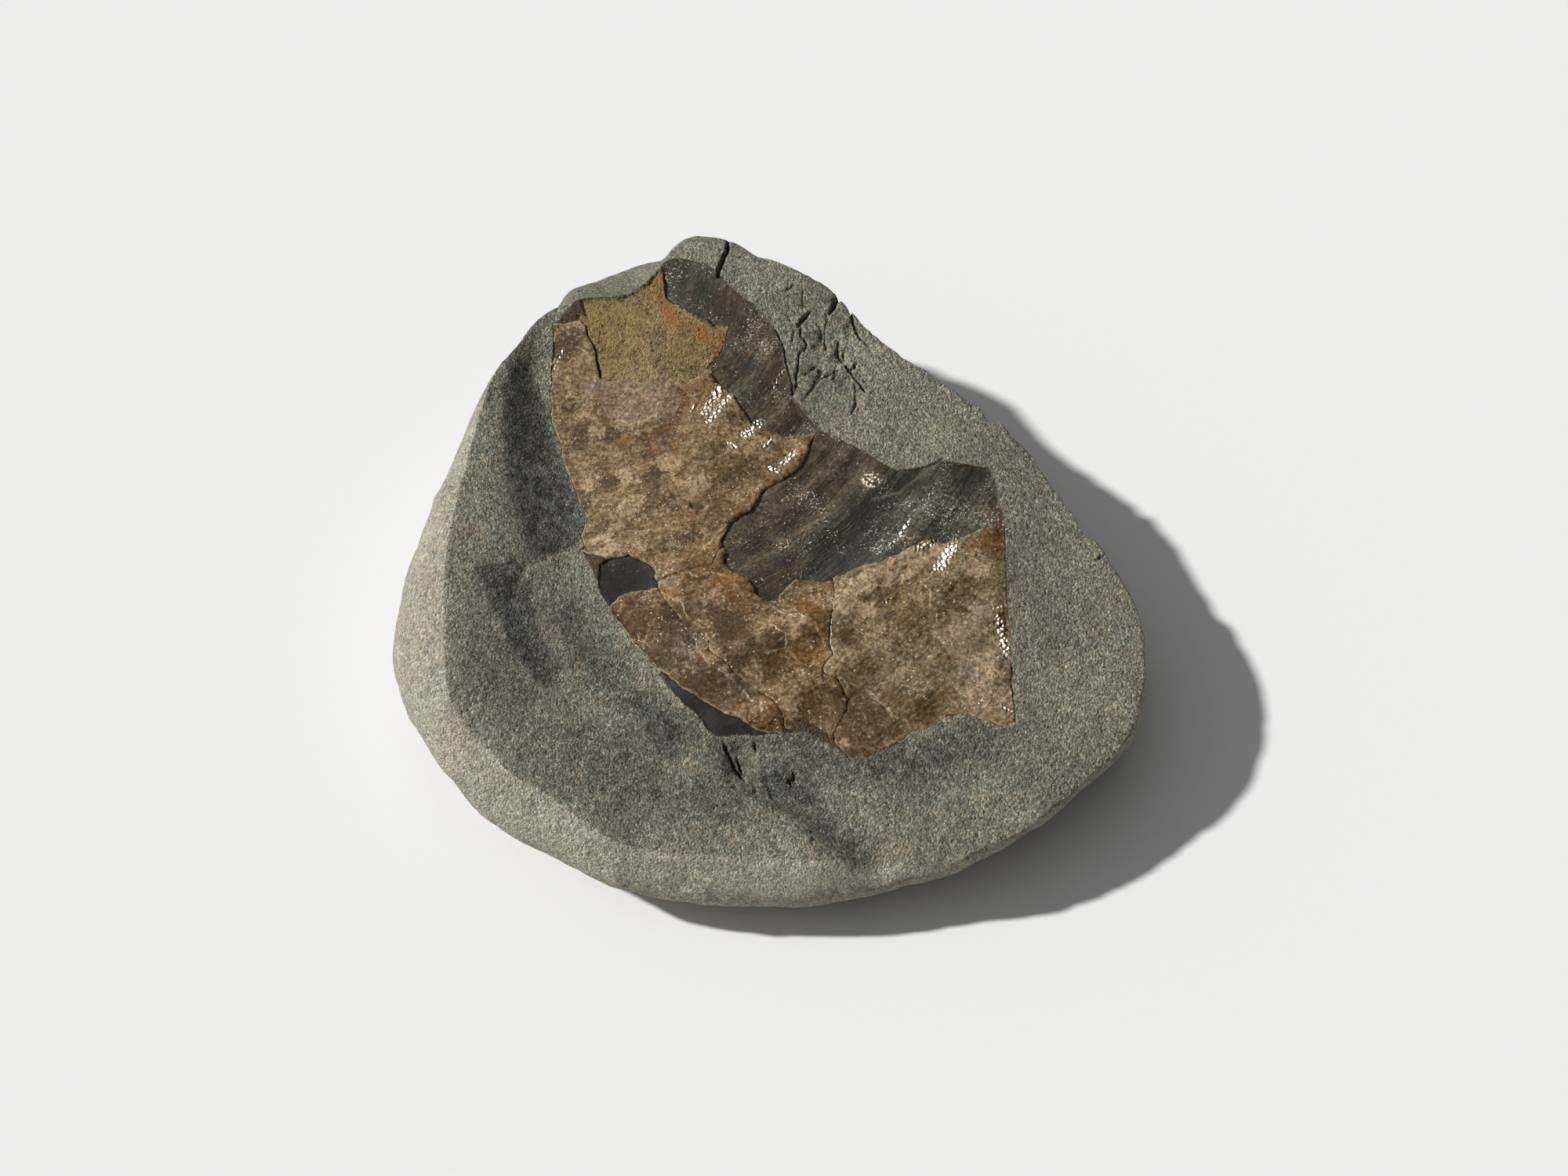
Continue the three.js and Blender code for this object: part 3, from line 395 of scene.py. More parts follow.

# Painted shade (strength below 0) and painted light (above 0) on the stone, standing in for how its
# slopes face the key light: half width, strength, then the route
PAINTED_LIGHT_AND_SHADE_BANDS = [
    [4.5, -0.34, 720, 790, 780, 870, 850, 935], [5, -0.12, 600, 740, 600, 880],
    [7, -0.28, 760, 960, 830, 1010, 900, 1030], [2.5, -0.15, 690, 560, 720, 640],
    [3.5, -0.22, 860, 930, 930, 960], [3.2, -0.38, 985, 985, 1050, 1040, 1090, 1080],
    [5, -0.36, 1030, 965, 1150, 975, 1240, 945], [5, -0.12, 1060, 440, 1040, 500],
    [9, 0.16, 1350, 660, 1400, 780, 1380, 880], [8, 0.3, 1100, 450, 1200, 540],
    [1.6, 0.12, 575, 860, 640, 980, 760, 1060], [4, 0.12, 840, 1060, 1000, 1080],
    [5, 0.12, 800, 1100, 980, 1130], [6, 0.1, 540, 640, 530, 800, 560, 920],
    [3, 0.12, 610, 560, 615, 640],
]
# Painted shade on slopes of the stone turned away from the key light: softness of the border,
# strength, then the outline
PAINTED_SHADE_PATCHES = [
    [0.9, -0.42, 656, 452, 641, 491, 638, 533, 641, 585, 652, 632, 661, 670, 673, 698, 685, 712,
     703, 706, 738, 692, 748, 662, 729, 627, 712, 580, 702, 548, 695, 519, 683, 486, 670, 466],
    [1.2, -0.45, 606, 722, 640, 716, 676, 712, 665, 735, 672, 768, 684, 801, 700, 834, 712, 852,
     702, 880, 678, 862, 652, 826, 634, 786, 616, 748],
]

# Noise on the surfaces: strength, size of the lumps, seed, octaves
ROCK_NOISE = [(0.2, 11, 31, 3), (0.10, 2.4, 35, 3), (0.05, 1.0, 38, 2)]
WALL_NOISE = [(0.4, 12, 41, 3), (0.16, 3, 45, 3)]
SHELL_NOISE = [(0.06, 6, 202, 3), (0.035, 1.2, 205, 3)]
JAG_SIZE = 2.2
JAG_SEEDS = (11, 12)
CHIP_RADIUS = 70
# Places where the stone broke into facets: middle, half width and half depth
HACKLY_SPOTS = [(11, 45, 9, 11), (2, -47, 9, 9)]

# Fineness of the outlines and meshes
PLAN_ROUNDS = 30
EDGE_SAMPLES = 5760
EDGE_STEPS = 768
WALL_RINGS_ABOVE = 14
WALL_RINGS_BELOW = 20
COARSE = 0.62
FINE = 0.34
HIDDEN = 1.6
SHELL_SPACING = 0.32
GLINT_SPACING = 0.16
FACE_GLINT_SEED = 400
SHELL_GLINT_SEED = 500
FACE_REACH = 72.0
SKIN_REACH = 60.0
rim_angle = np.arange(EDGE_STEPS) / EDGE_STEPS * TURN
# Values of the fields where a piece is hidden or turned away, elsewhere 0
HIDDEN_FIELDS = {"mould_edge": -5.0, "ochre_edge": -5.0, "skin": 5.0, "flake_edge": 0.6}

# Lamps: way to the light, strength, angle across in degrees and colour
SUNS = [
    ("key", (-0.77, 0.11, 0.63), 4.15, 3, (1.0, 0.995, 0.985)),
    ("fill", (-0.55, 0.15, 0.82), 0.69, 110, (0.98, 0.99, 1.0)),
]
SKY_COLOUR = (0.98, 0.99, 1.0)
SKY_STRENGTH = 0.055
FLOOR_REACH = 4.0

# Depth of the bumps in the materials, in metres
ROCK_BUMP = 0.0007
SHELL_BUMP = 0.0002
FLOOR_BUMP = 0.00001


def photo_to_level(photo, z):
    """Plan x and y, on the level z, of what photo points show."""
    side, down = (photo - np.array(PHOTO_MIDDLE)).T / FOCAL
    ray_y, ray_z = (-TO_CAMERA[k] - down * UPWARD[k] for k in (1, 2))
    travel = (z - CAMERA_SPOT[2]) / ray_z
    return CAMERA_SPOT[0] + travel * side, CAMERA_SPOT[1] + travel * ray_y


def bend(distance_squared):
    safe = np.maximum(distance_squared, 1e-12)
    return 0.5 * safe * np.log(safe)


def thin_plate(points, stiffness):
    """Thin-plate surface through points (x, y, z), eased by a small stiffness."""
    x, y, z = points.T
    count = len(points)
    system = np.zeros((count + 3, count + 3))
    system[:count, :count] = bend((x[:, None] - x) ** 2 + (y[:, None] - y) ** 2)
    system[range(count), range(count)] = stiffness
    system[:count, count:] = np.stack([np.ones(count), x, y], axis=1)
    system[count:, :count] = system[:count, count:].T
    weights = np.linalg.solve(system, np.concatenate([z, np.zeros(3)]))

    def height(at_x, at_y):
        result = weights[count] + weights[count + 1] * at_x + weights[count + 2] * at_y
        for i in range(count):
            result = result + weights[i] * bend((at_x - x[i]) ** 2 + (at_y - y[i]) ** 2)
        return result

    return height


def segment_distance(starts, ends, x, y, reach):
    """Distance to the nearest of many segments up to a reach, above 0 on their left."""
    best, turn = np.full(x.shape, reach), np.full(x.shape, -1.0)
    if not len(starts):
        return best, turn
    both = np.concatenate([starts, ends])
    low, high = both.min(axis=0) - reach, both.max(axis=0) + reach
    near = np.flatnonzero((x > low[0]) & (x < high[0]) & (y > low[1]) & (y < high[1]))
    px, py = x[near], y[near]
    close, way = best[near], turn[near]
    for a, b in zip(starts, ends):
        step = b - a
        along = np.clip(((px - a[0]) * step[0] + (py - a[1]) * step[1]) / (step @ step), 0, 1)
        gap_x = px - a[0] - along * step[0]
        gap_y = py - a[1] - along * step[1]
        distance = np.hypot(gap_x, gap_y)
        closer = distance < close
        close = np.where(closer, distance, close)
        way = np.where(closer, np.sign(step[0] * gap_y - step[1] * gap_x), way)
    best[near], turn[near] = close, way
    return best, turn


def line_distance(route, x, y, reach=9.0):
    """Distance to a polyline up to a reach, and its side: above 0 on the left."""
    return segment_distance(route[:-1], route[1:], x, y, reach)


def inside_distance(outline, x, y, reach=6.0):
    """Distance inside a closed outline, negative outside, up to a reach."""
    nearest, _ = segment_distance(outline, np.roll(outline, -1, axis=0), x, y, reach)
    inside = np.zeros(x.shape, bool)
    for a, b in zip(outline, np.roll(outline, -1, axis=0)):
        if a[1] == b[1]:
            continue
        crosses = (a[1] > y) != (b[1] > y)
        inside ^= crosses & (x < a[0] + (b[0] - a[0]) * (y - a[1]) / (b[1] - a[1]))
    return np.where(inside, nearest, -nearest)


def inside_any(outlines, x, y):
    """Distance inside the nearest of many outlines."""
    return np.max([inside_distance(outline, x, y) for outline in outlines], axis=0)


def smoothstep(value, low, high):
    part = np.clip((value - low) / (high - low), 0, 1)
    return part * part * (3 - 2 * part)


def bell(distance, width):
    """1 in the middle, falling softly to 0 over the width."""
    return np.exp(-((distance / width) ** 2))


def hashed(ix, iy, iz, seed):
    """Repeatable number from 0 to 1 for whole-number lattice corners."""
    mixed = (ix * 73856093) ^ (iy * 19349663) ^ (iz * 83492791) ^ (seed * 2654435)
    mixed = (mixed ^ (mixed >> 13)) * 1274126177
    return ((mixed ^ (mixed >> 16)) & 0xFFFF) / 65535.0


def value_noise(x, y, size, seed, z=0.0):
    """Smooth noise from -1 to 1 with lumps of the given size."""
    scaled = [value / size for value in (x, y, z)]
    ix, iy, iz = corner = [np.floor(value).astype(np.int64) for value in scaled]
    parts = [value - whole for value, whole in zip(scaled, corner)]
    parts = [t * t * t * (t * (6 * t - 15) + 10) for t in parts]
    across, along, up = [(1 - t, t) for t in parts]
    total = 0
    for dx, dy, dz in product((0, 1), repeat=3):
        weight = across[dx] * along[dy] * up[dz]
        total = total + weight * hashed(ix + dx, iy + dy, iz + dz, seed)
    return 2 * total - 1


def rough_noise(x, y, size, seed, octaves=3, z=0.0):
    """Layers of noise, each half the size and strength of the last."""
    total = 0
    for octave in range(octaves):
        total = total + value_noise(x, y, size / 2 ** octave, seed + octave, z) / 2 ** octave
    return total


def layered(x, y, layers, z=0.0):
    """Sum of noises given as rows of strength, size, seed and octaves."""
    return sum(
        high * rough_noise(x, y, size, seed, octaves, z) for high, size, seed, octaves in layers
    )


def outward(line):
    """Unit steps to the right of a line's way at each of its points."""
    way = np.roll(line, -1, axis=0) - np.roll(line, 1, axis=0)
    across = np.stack([way[:, 1], -way[:, 0]], axis=1)
    return across / np.maximum(np.linalg.norm(across, axis=1, keepdims=True), 1e-9)


edge_table = np.reshape(FACE_EDGE, (-1, 5))
landmarks = np.reshape(LEFT_SLOPE + FRONT_FIELD + RIGHT_FIELD + VALVE, (-1, 3))
edge_spots = np.stack(photo_to_level(edge_table[:, :2], edge_table[:, 2]), axis=1)
plain_face = thin_plate(
    np.concatenate([
        np.column_stack([edge_spots, edge_table[:, 2]]),
        np.column_stack([*photo_to_level(landmarks[:, :2], landmarks[:, 2]), landmarks[:, 2]]),
    ]),
    SURFACE_EASE,
)


def to_plan(outline):
    """Plan of photo points that lie on the split face."""
    photo = np.reshape(outline, (-1, 2))
    z = np.full(len(photo), float(REFERENCE_HEIGHT))
    for _ in range(PLAN_ROUNDS):
        z = (z + plain_face(*photo_to_level(photo, z))) / 2
    return np.stack(photo_to_level(photo, z), axis=1)


def roughen(outline, spacing, amount, closed=True):
    """Plan of an outline, finer and jagged by one field, so that neighbours still meet."""
    outline = to_plan(outline)
    ends = np.roll(outline, -1, axis=0) if closed else outline[1:]
    fine = []
    for a, b in zip(outline, ends):
        count = max(1, int(round(np.linalg.norm(b - a) / spacing)))
        fine.extend(a + (b - a) * k / count for k in range(count))
    if not closed:
        fine.append(outline[-1])
    fine = np.array(fine)
    jag = [rough_noise(*fine.T, JAG_SIZE, seed, octaves=4) for seed in JAG_SEEDS]
    return fine + amount * np.stack(jag, axis=1)


def closed_curve(values, samples):
    """Closed smooth curve through rows of values."""
    count = len(values)
    place = np.arange(samples) / samples * count
    whole = np.floor(place).astype(int)
    part = (place - whole)[:, None]
    before, start, end, after = (values[(whole + k) % count] for k in (-1, 0, 1, 2))
    leave, arrive = 0.5 * (end - before), 0.5 * (after - start)
    return (
        start + leave * part
        + (3 * (end - start) - 2 * leave - arrive) * part ** 2
        + (2 * (start - end) + leave + arrive) * part ** 3
    )


edge_curve = closed_curve(np.column_stack([edge_spots, edge_table[:, 2:]]), EDGE_SAMPLES)
edge_curve = edge_curve[np.argsort(np.arctan2(edge_curve[:, 1], edge_curve[:, 0]))]
edge_angles = np.arctan2(edge_curve[:, 1], edge_curve[:, 0])
edge_radii = np.hypot(edge_curve[:, 0], edge_curve[:, 1])


def around(angle, values):
    """Values along the face edge, read at any angle."""
    return np.interp(angle, edge_angles, values, period=TURN)


def circle(angle, radius):
    return np.stack([radius * np.cos(angle), radius * np.sin(angle)], axis=1)


def edge_radius(angle):
    """Distance of the face edge from the stone's middle, with small chips."""
    x, y = np.cos(angle) * CHIP_RADIUS, np.sin(angle) * CHIP_RADIUS
    chip = rough_noise(x, y, 3.2, 61)
    sharp = smoothstep(x * 0.9 + y * 0.5, -30, 10)
    return around(angle, edge_radii) + chip * (0.08 + 0.22 * sharp) - 0.1


fossil_plan = to_plan(FOSSIL_OUTLINE)
valley_plan = to_plan(VALLEY_ROUTE)
ochre_plan = roughen(OCHRE_OUTLINE, 0.35, OUTLINE_JAG)
mould_plans = [roughen(outline, 0.4, OUTLINE_JAG) for outline in BARE_MOULD_OUTLINES]
crack_plans = [(roughen(route, 0.25, 0.18, False), width, depth) for width, depth, *route in CRACKS]
ledge_plans = [(roughen(route, 0.4, 0.35, False), step) for step, *route in LEDGES]
flake_plans = [roughen(route, 0.3, 0.4, False) for route in FLAKE_EDGES]
glint_plans = [(to_plan(route), wide) for wide, *route in GLINTS]
broken_plans = {
    name: roughen(outline, 0.28, OUTLINE_JAG) for name, outline in SHELL_OUTLINES.items()
}


def turning(plan):
    """1 for an outline that runs anticlockwise, -1 for clockwise."""
    after = np.roll(plan, -1, axis=0)
    return 1 if np.sum(plan[:, 0] * after[:, 1] - plan[:, 1] * after[:, 0]) > 0 else -1


def without(plans, name):
    return [plan for key, plan in plans.items() if key != name]


def shell_plan(name):
    """Jagged outline of a plate, let out where a neighbour is near so that they nearly meet."""
    plan = broken_plans[name]
    gap = -inside_any(without(broken_plans, name), *plan.T)
    growth_out = np.clip(gap / 2 - 0.02, 0, 1) * (1 - smoothstep(gap, 1.3, 2.2))
    return plan + outward(plan) * (turning(plan) * (growth_out + SHELL_GROWTH))[:, None]


shell_plans = {name: shell_plan(name) for name in SHELL_OUTLINES}


def open_edges(name):
    """Outline segments of a plate that no other plate adjoins, and those that one does."""
    plan = shell_plans[name]
    after = np.roll(plan, -1, axis=0)
    joined = inside_any(without(shell_plans, name), *((plan + after) / 2).T) > -0.5
    return (plan[~joined], after[~joined]), (plan[joined], after[joined])


def growth(x, y):
    """Distance from the hinge end along which the ribs follow each other."""
    return np.hypot(RIB_STRETCH * (x - RIB_HUB[0]), y - RIB_HUB[1])


def along_ribs(x, y):
    """Distance measured along the ribs."""
    return 60 * np.arctan2(RIB_STRETCH * (x - RIB_HUB[0]), RIB_HUB[1] - y)


def valley_fall(x, y, inside):
    """Depth of the valley, nothing on the fossil."""
    distance, side = line_distance(valley_plan, x, y, reach=40.0)
    across = distance * side
    bank = smoothstep(across, -VALLEY_BANK, VALLEY_BANK)
    ease = np.exp(-np.maximum(across - VALLEY_BANK, 0) / VALLEY_EASE)
    return VALLEY_DEPTH * bank * ease * smoothstep(-inside, 0, VALLEY_START)


def on_fossil(x, y, low, high):
    """0 off the fossil, 1 well inside it."""
    return smoothstep(inside_distance(fossil_plan, x, y), low, high)


def face_height(x, y):
    """The split face before anything is broken out of it."""
    inside = inside_distance(fossil_plan, x, y)
    reach = growth(x, y)
    ribs = sum(high * bell(reach - crest, wide) for crest, wide, high in RIB_ROWS)
    return plain_face(x, y) + ribs * smoothstep(inside, 0, RIB_FADE) - valley_fall(x, y, inside)


def nearest_cells(x, y, size, seed):
    """Middle and number of the nearest of many scattered cells."""
    ix, iy = np.floor(x / size).astype(np.int64), np.floor(y / size).astype(np.int64)
    best = np.full(x.shape, 1e9)
    found = [x, y, ix, iy]
    for dx, dy in product((-1, 0, 1), repeat=2):
        cx, cy = ix + dx, iy + dy
        px, py = ((c + hashed(cx, cy, k, seed)) * size for k, c in enumerate((cx, cy)))
        distance = np.hypot(x - px, y - py)
        closer = distance < best
        best = np.where(closer, distance, best)
        found = [np.where(closer, new, old) for new, old in zip((px, py, cx, cy), found)]
    return found


def chips(x, y, size, seed):
    """Flat facets of broken stone, each tilted its own way."""
    px, py, cx, cy = nearest_cells(x, y, size, seed)
    slope_x = hashed(cx, cy, 2, seed) - 0.5
    slope_y = hashed(cx, cy, 3, seed) - 0.5
    lift = hashed(cx, cy, 4, seed) - 0.5
    return slope_x * (x - px) + slope_y * (y - py) + lift * size * 0.25


def glint_height(x, y):
    """Facets tilted to the light in the strips, and how glossy each spot is."""
    gloss = np.max([
        smoothstep(wide - line_distance(route, x, y, GLINT_REACH)[0], 0, 0.5 * wide)
        for route, wide in glint_plans
    ], axis=0)
    lift = 0 * x
    on = np.flatnonzero(gloss > 0)
    near_x, near_y, step = x[on], y[on], 0.3
    slopes = [
        (face_height(near_x + ux, near_y + uy) - face_height(near_x - ux, near_y - uy)) / (2 * step)
        for ux, uy in ((step, 0), (0, step))
    ]
    px, py, cx, cy = nearest_cells(near_x, near_y, GLINT_CELL, GLINT_SEED)
    tilt_x, tilt_y = (
        GLINT_TILT[k] - slopes[k] + GLINT_JITTER * (2 * hashed(cx, cy, 2 + k, GLINT_SEED) - 1)
        for k in (0, 1)
    )
    lift[on] = gloss[on] * (tilt_x * (near_x - px) + tilt_y * (near_y - py))
    return lift, gloss


def spots_strength(spots, x, y):
    """Strength from 0 to 1 of soft spots given in photo pixels."""
    total = 0 * x
    spots = np.reshape(spots, (-1, 3))
    for (at_x, at_y), radius in zip(to_plan(spots[:, :2]), spots[:, 2]):
        total = np.maximum(total, np.exp(-((x - at_x) ** 2 + (y - at_y) ** 2) / radius ** 2))
    return total


def stain(key, x, y):
    """Strength from 0 to 1 of one kind of stain: its soft spots and its patches."""
    total = spots_strength(SHELL_SPOTS[key], x, y)
    for outline in SHELL_PATCHES.get(key, []):
        inside = inside_distance(roughen(outline, 0.5, 0.35), x, y)
        total = np.maximum(total, smoothstep(inside, -0.6, 0.5))
    return total


def painted_light_and_shade(x, y):
    """Painted light and painted shade on the stone from the bands, patches and clouds, with a
    little random tone.
    """
    total = 1 + 0 * x
    wander = 1 + 0.28 * rough_noise(x, y, 7, 221, octaves=4)
    for wide, strength, *route in PAINTED_LIGHT_AND_SHADE_BANDS:
        distance, _ = line_distance(to_plan(route), x, y, reach=30.0)
        total = total + strength * bell(distance * wander, wide)
    for softness, strength, *outline in PAINTED_SHADE_PATCHES:
        inside = inside_distance(roughen(outline, 0.6, 0.4), x, y) * wander
        total = total + strength * smoothstep(inside, -softness, softness)
    return np.clip(total + 0.05 * rough_noise(x, y, 3, 225), 0.35, 1.5)


def growth_lines(x, y):
    """Fine lines between the ribs."""
    reach = growth(x, y) + 0.5 * value_noise(x, y, 9, 71)
    strength = 0.6 + 0.5 * value_noise(x, y, 6, 72)
    wave = np.sin(reach * TURN / 1.9) * 0.5 + np.sin(reach * TURN / 1.1 + 1) * 0.35
    return wave * strength


def rib_fields(x, y):
    """Place on the ribs, and bands for painted light on their lit flanks and painted shade on their
    dark flanks.
    """
    reach = growth(x, y)
    bands = {
        key: np.max([bell(reach - row, wide) for row in rows], axis=0)
        for key, rows, wide in (("lit", LIT_FLANKS, 1.4), ("shaded_flank", DARK_FLANKS, 2.0))
    }
    return {"growth": reach, "along": along_ribs(x, y), **bands}


def stone_height(x, y):
    """The split face with everything that is broken out of it, and its fields."""
    z = face_height(x, y)
    bare = inside_any(mould_plans, x, y)
    ochre = inside_distance(ochre_plan, x, y)
    shell = inside_any(shell_plans.values(), x, y)
    ochre = np.maximum(ochre, np.minimum(np.minimum(ochre + 1.6, shell + 1.2), 0.2))
    margin = on_fossil(x, y, -0.5, MARGIN_EASE)
    bare_cut = smoothstep(bare, -0.1, 0.1)
    ochre_cut = smoothstep(ochre, -0.1, 0.15)
    seat_cut = smoothstep(shell, -0.02, 0.1)
    hollow = np.maximum(MOULD_DEPTH * margin * bare_cut, (MOULD_DEPTH - 0.1) * ochre_cut)
    z = z - np.maximum(hollow, SEAT_DEPTH * seat_cut)

    smooth = bare_cut * (1 - ochre_cut)
    polished = 0.06 * growth_lines(x, y) + 0.02 * rough_noise(x, y, 1.3, 36)
    facet, gloss = glint_height(x, y)
    z = z + layered(x, y, ROCK_NOISE) * (1 - smooth) * (1 - 0.4 * ochre_cut)
    z = z + (polished * (1 - gloss) + facet) * smooth
    for route, step in ledge_plans:
        distance, side = line_distance(route, x, y)
        z = z + step * 0.5 * side * smoothstep(distance, 0, 0.25) * np.exp(-distance / 2.5)
    stone_only = (1 - np.maximum(smooth, ochre_cut)) * (1 - seat_cut)
    hackly = sum(
        np.exp(-(((x - at_x) / wide) ** 2 + ((y - at_y) / high) ** 2))
        for at_x, at_y, wide, high in HACKLY_SPOTS
    ) * stone_only
    z = z + hackly * (0.45 * chips(x, y, 3.6, 91) + 0.35 * chips(x, y, 1.5, 92))
    # strength of the painted shade in the open cracks
    painted_crack_shade = 0 * x
    for route, width, depth in crack_plans:
        distance, side = line_distance(route, x, y)
        ends = np.min([np.hypot(x - end[0], y - end[1]) for end in route[[0, -1]]], axis=0)
        half = 0.5 * width * (0.15 + 0.85 * smoothstep(ends, 0, 2.2))
        open_part = (1 - smoothstep(distance, half * 0.3, half + 0.1)) * smoothstep(ends, -0.2, 0.8)
        painted_crack_shade = np.maximum(painted_crack_shade, open_part)
        z = z - depth * open_part
        z = z + 0.22 * side * smoothstep(distance, 0, 0.2) * np.exp(-distance / 1.5) * hackly
    hole = smoothstep(inside_any(mould_plans[1:], x, y), -0.1, 0.1)
    gloss = gloss * (np.where(shell > -0.3, -1, bare) > 0)
    return z, {
        "mould_edge": bare, "ochre_edge": ochre, "gloss": gloss, "painted_crack_shade": painted_crack_shade, "hole": hole,
    }


def lattice(spacing, seed, low, high):
    """Jittered triangular lattice of plan points in a box."""
    rows = int((high[1] - low[1]) / (spacing * 0.866)) + 1
    columns = int((high[0] - low[0]) / spacing) + 1
    i, j = np.meshgrid(np.arange(columns), np.arange(rows))
    x = low[0] + (i + 0.5 * (j % 2)) * spacing
    y = low[1] + j * spacing * 0.866
    rng = np.random.default_rng(seed)
    x = x.ravel() + rng.uniform(-0.22, 0.22, x.size) * spacing
    y = y.ravel() + rng.uniform(-0.22, 0.22, y.size) * spacing
    return x, y


def add_object(name, data):
    """Object in the scene for a mesh, camera or lamp."""
    thing = bpy.data.objects.new(name, data)
    bpy.context.scene.collection.objects.link(thing)
    return thing


def in_row(points):
    """Row metres of points in millimetres around the stone's middle."""
    return (np.asarray(points) + np.array([*ROW_SHIFT, 0])) * METRES


def new_piece(name, vertices, faces, fields):
    """Mesh piece that carries fields for its material."""
    mesh = bpy.data.meshes.new(name)
    mesh.from_pydata(in_row(vertices).tolist(), [], faces)
    for key, values in {**fields, **rib_fields(*vertices.T[:2])}.items():
        hidden = np.full(len(vertices) - len(values), HIDDEN_FIELDS.get(key, 0.0))
        layer = mesh.attributes.new(key, "FLOAT", "POINT")
        layer.data.foreach_set("value", np.concatenate([values, hidden]).astype(np.float32))
    mesh.shade_smooth()
    mesh.update()
    piece = add_object(name, mesh)
    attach(piece, "root")
    return piece


def triangulated(rim_count, points):
    """Plan points, the rim first, and the faces between them."""
    plan = [Vector(point) for point in np.concatenate(points)]
    spots, _, faces, _, _, _ = delaunay_2d_cdt(plan, [], [list(range(rim_count))], 1, 1e-6)
    return np.array([tuple(spot) for spot in spots]), [list(face) for face in faces]


def glint_points(seed):
    """Fine plan points in the strips that catch the light."""
    points = []
    for number, (route, wide) in enumerate(glint_plans):
        low, high = route.min(axis=0) - wide, route.max(axis=0) + wide
        x, y = lattice(GLINT_SPACING, seed + number, low, high)
        near = line_distance(route, x, y, GLINT_REACH)[0] < wide
        points.append(np.stack([x[near], y[near]], axis=1))
    return np.concatenate(points)


def beside(line, right, left):
    """Copies of a line on its right and on its left."""
    return [line + outward(line) * right, line - outward(line) * left]


def face_points():
    """Plan points of the split face: fine where it is bare fossil or cracked."""
    chosen = []
    corner = np.array([FACE_REACH, FACE_REACH])
    for spacing, seed in ((HIDDEN, 1), (COARSE, 2), (FINE, 3)):
        x, y = lattice(spacing, seed, -corner, corner)
        inner = np.hypot(x, y) < edge_radius(np.arctan2(y, x)) - 0.8
        x, y = x[inner], y[inner]
        hidden = inside_any(shell_plans.values(), x, y) > 0.5
        detailed = inside_distance(fossil_plan, x, y) > -1.2
        detailed |= line_distance(valley_plan, x, y)[0] < 3
        for route, _, _ in crack_plans:
            detailed |= line_distance(route, x, y)[0] < 1.4
        detailed &= ~hidden
        keep = {HIDDEN: hidden, COARSE: ~hidden & ~detailed, FINE: detailed}[spacing]
        chosen.append(np.stack([x[keep], y[keep]], axis=1))
    shiny = glint_points(FACE_GLINT_SEED)
    shiny = shiny[inside_any(shell_plans.values(), *shiny.T) < -0.1]
    rows = [route for route, _, _ in crack_plans] + [shiny]
    for plan in [ochre_plan, *mould_plans]:
        rows += beside(plan, 0.12, 0.12)
    for plan in shell_plans.values():
        sense = turning(plan)
        rows += beside(plan, sense * 0.03, sense * 0.12)
    rows += [circle(rim_angle, edge_radius(rim_angle) - inset) for inset in (0.2, 0.5)]
    return chosen + rows


def wall_ring(start_height, swing, above):
    """Radius and level of one ring of the outer wall, above or below its widest level."""
    height, reach, drop = (around(rim_angle, edge_curve[:, k]) for k in (2, 3, 4))
    widest_radius = around(rim_angle, edge_radii) + reach
    widest_height = height - drop
    if above:
        first = math.pi / 6
        turn = first + (math.pi / 2 - first) * swing
        part = (math.sin(turn) - math.sin(first)) / (1 - math.sin(first))
        radius = edge_radius(rim_angle)
        radius = radius + (widest_radius - radius) * part
        level = widest_height + (start_height - widest_height) * math.cos(turn) / math.cos(first)
    else:
        turn = swing * math.pi / 2
        inner = 1 / np.hypot(*(circle(rim_angle, 1) / (BASE_HALF_WIDTH, BASE_HALF_DEPTH)).T)
        radius = inner + (widest_radius - inner) * math.cos(turn)
        level = widest_height * (1 - math.sin(turn))
    return radius, level


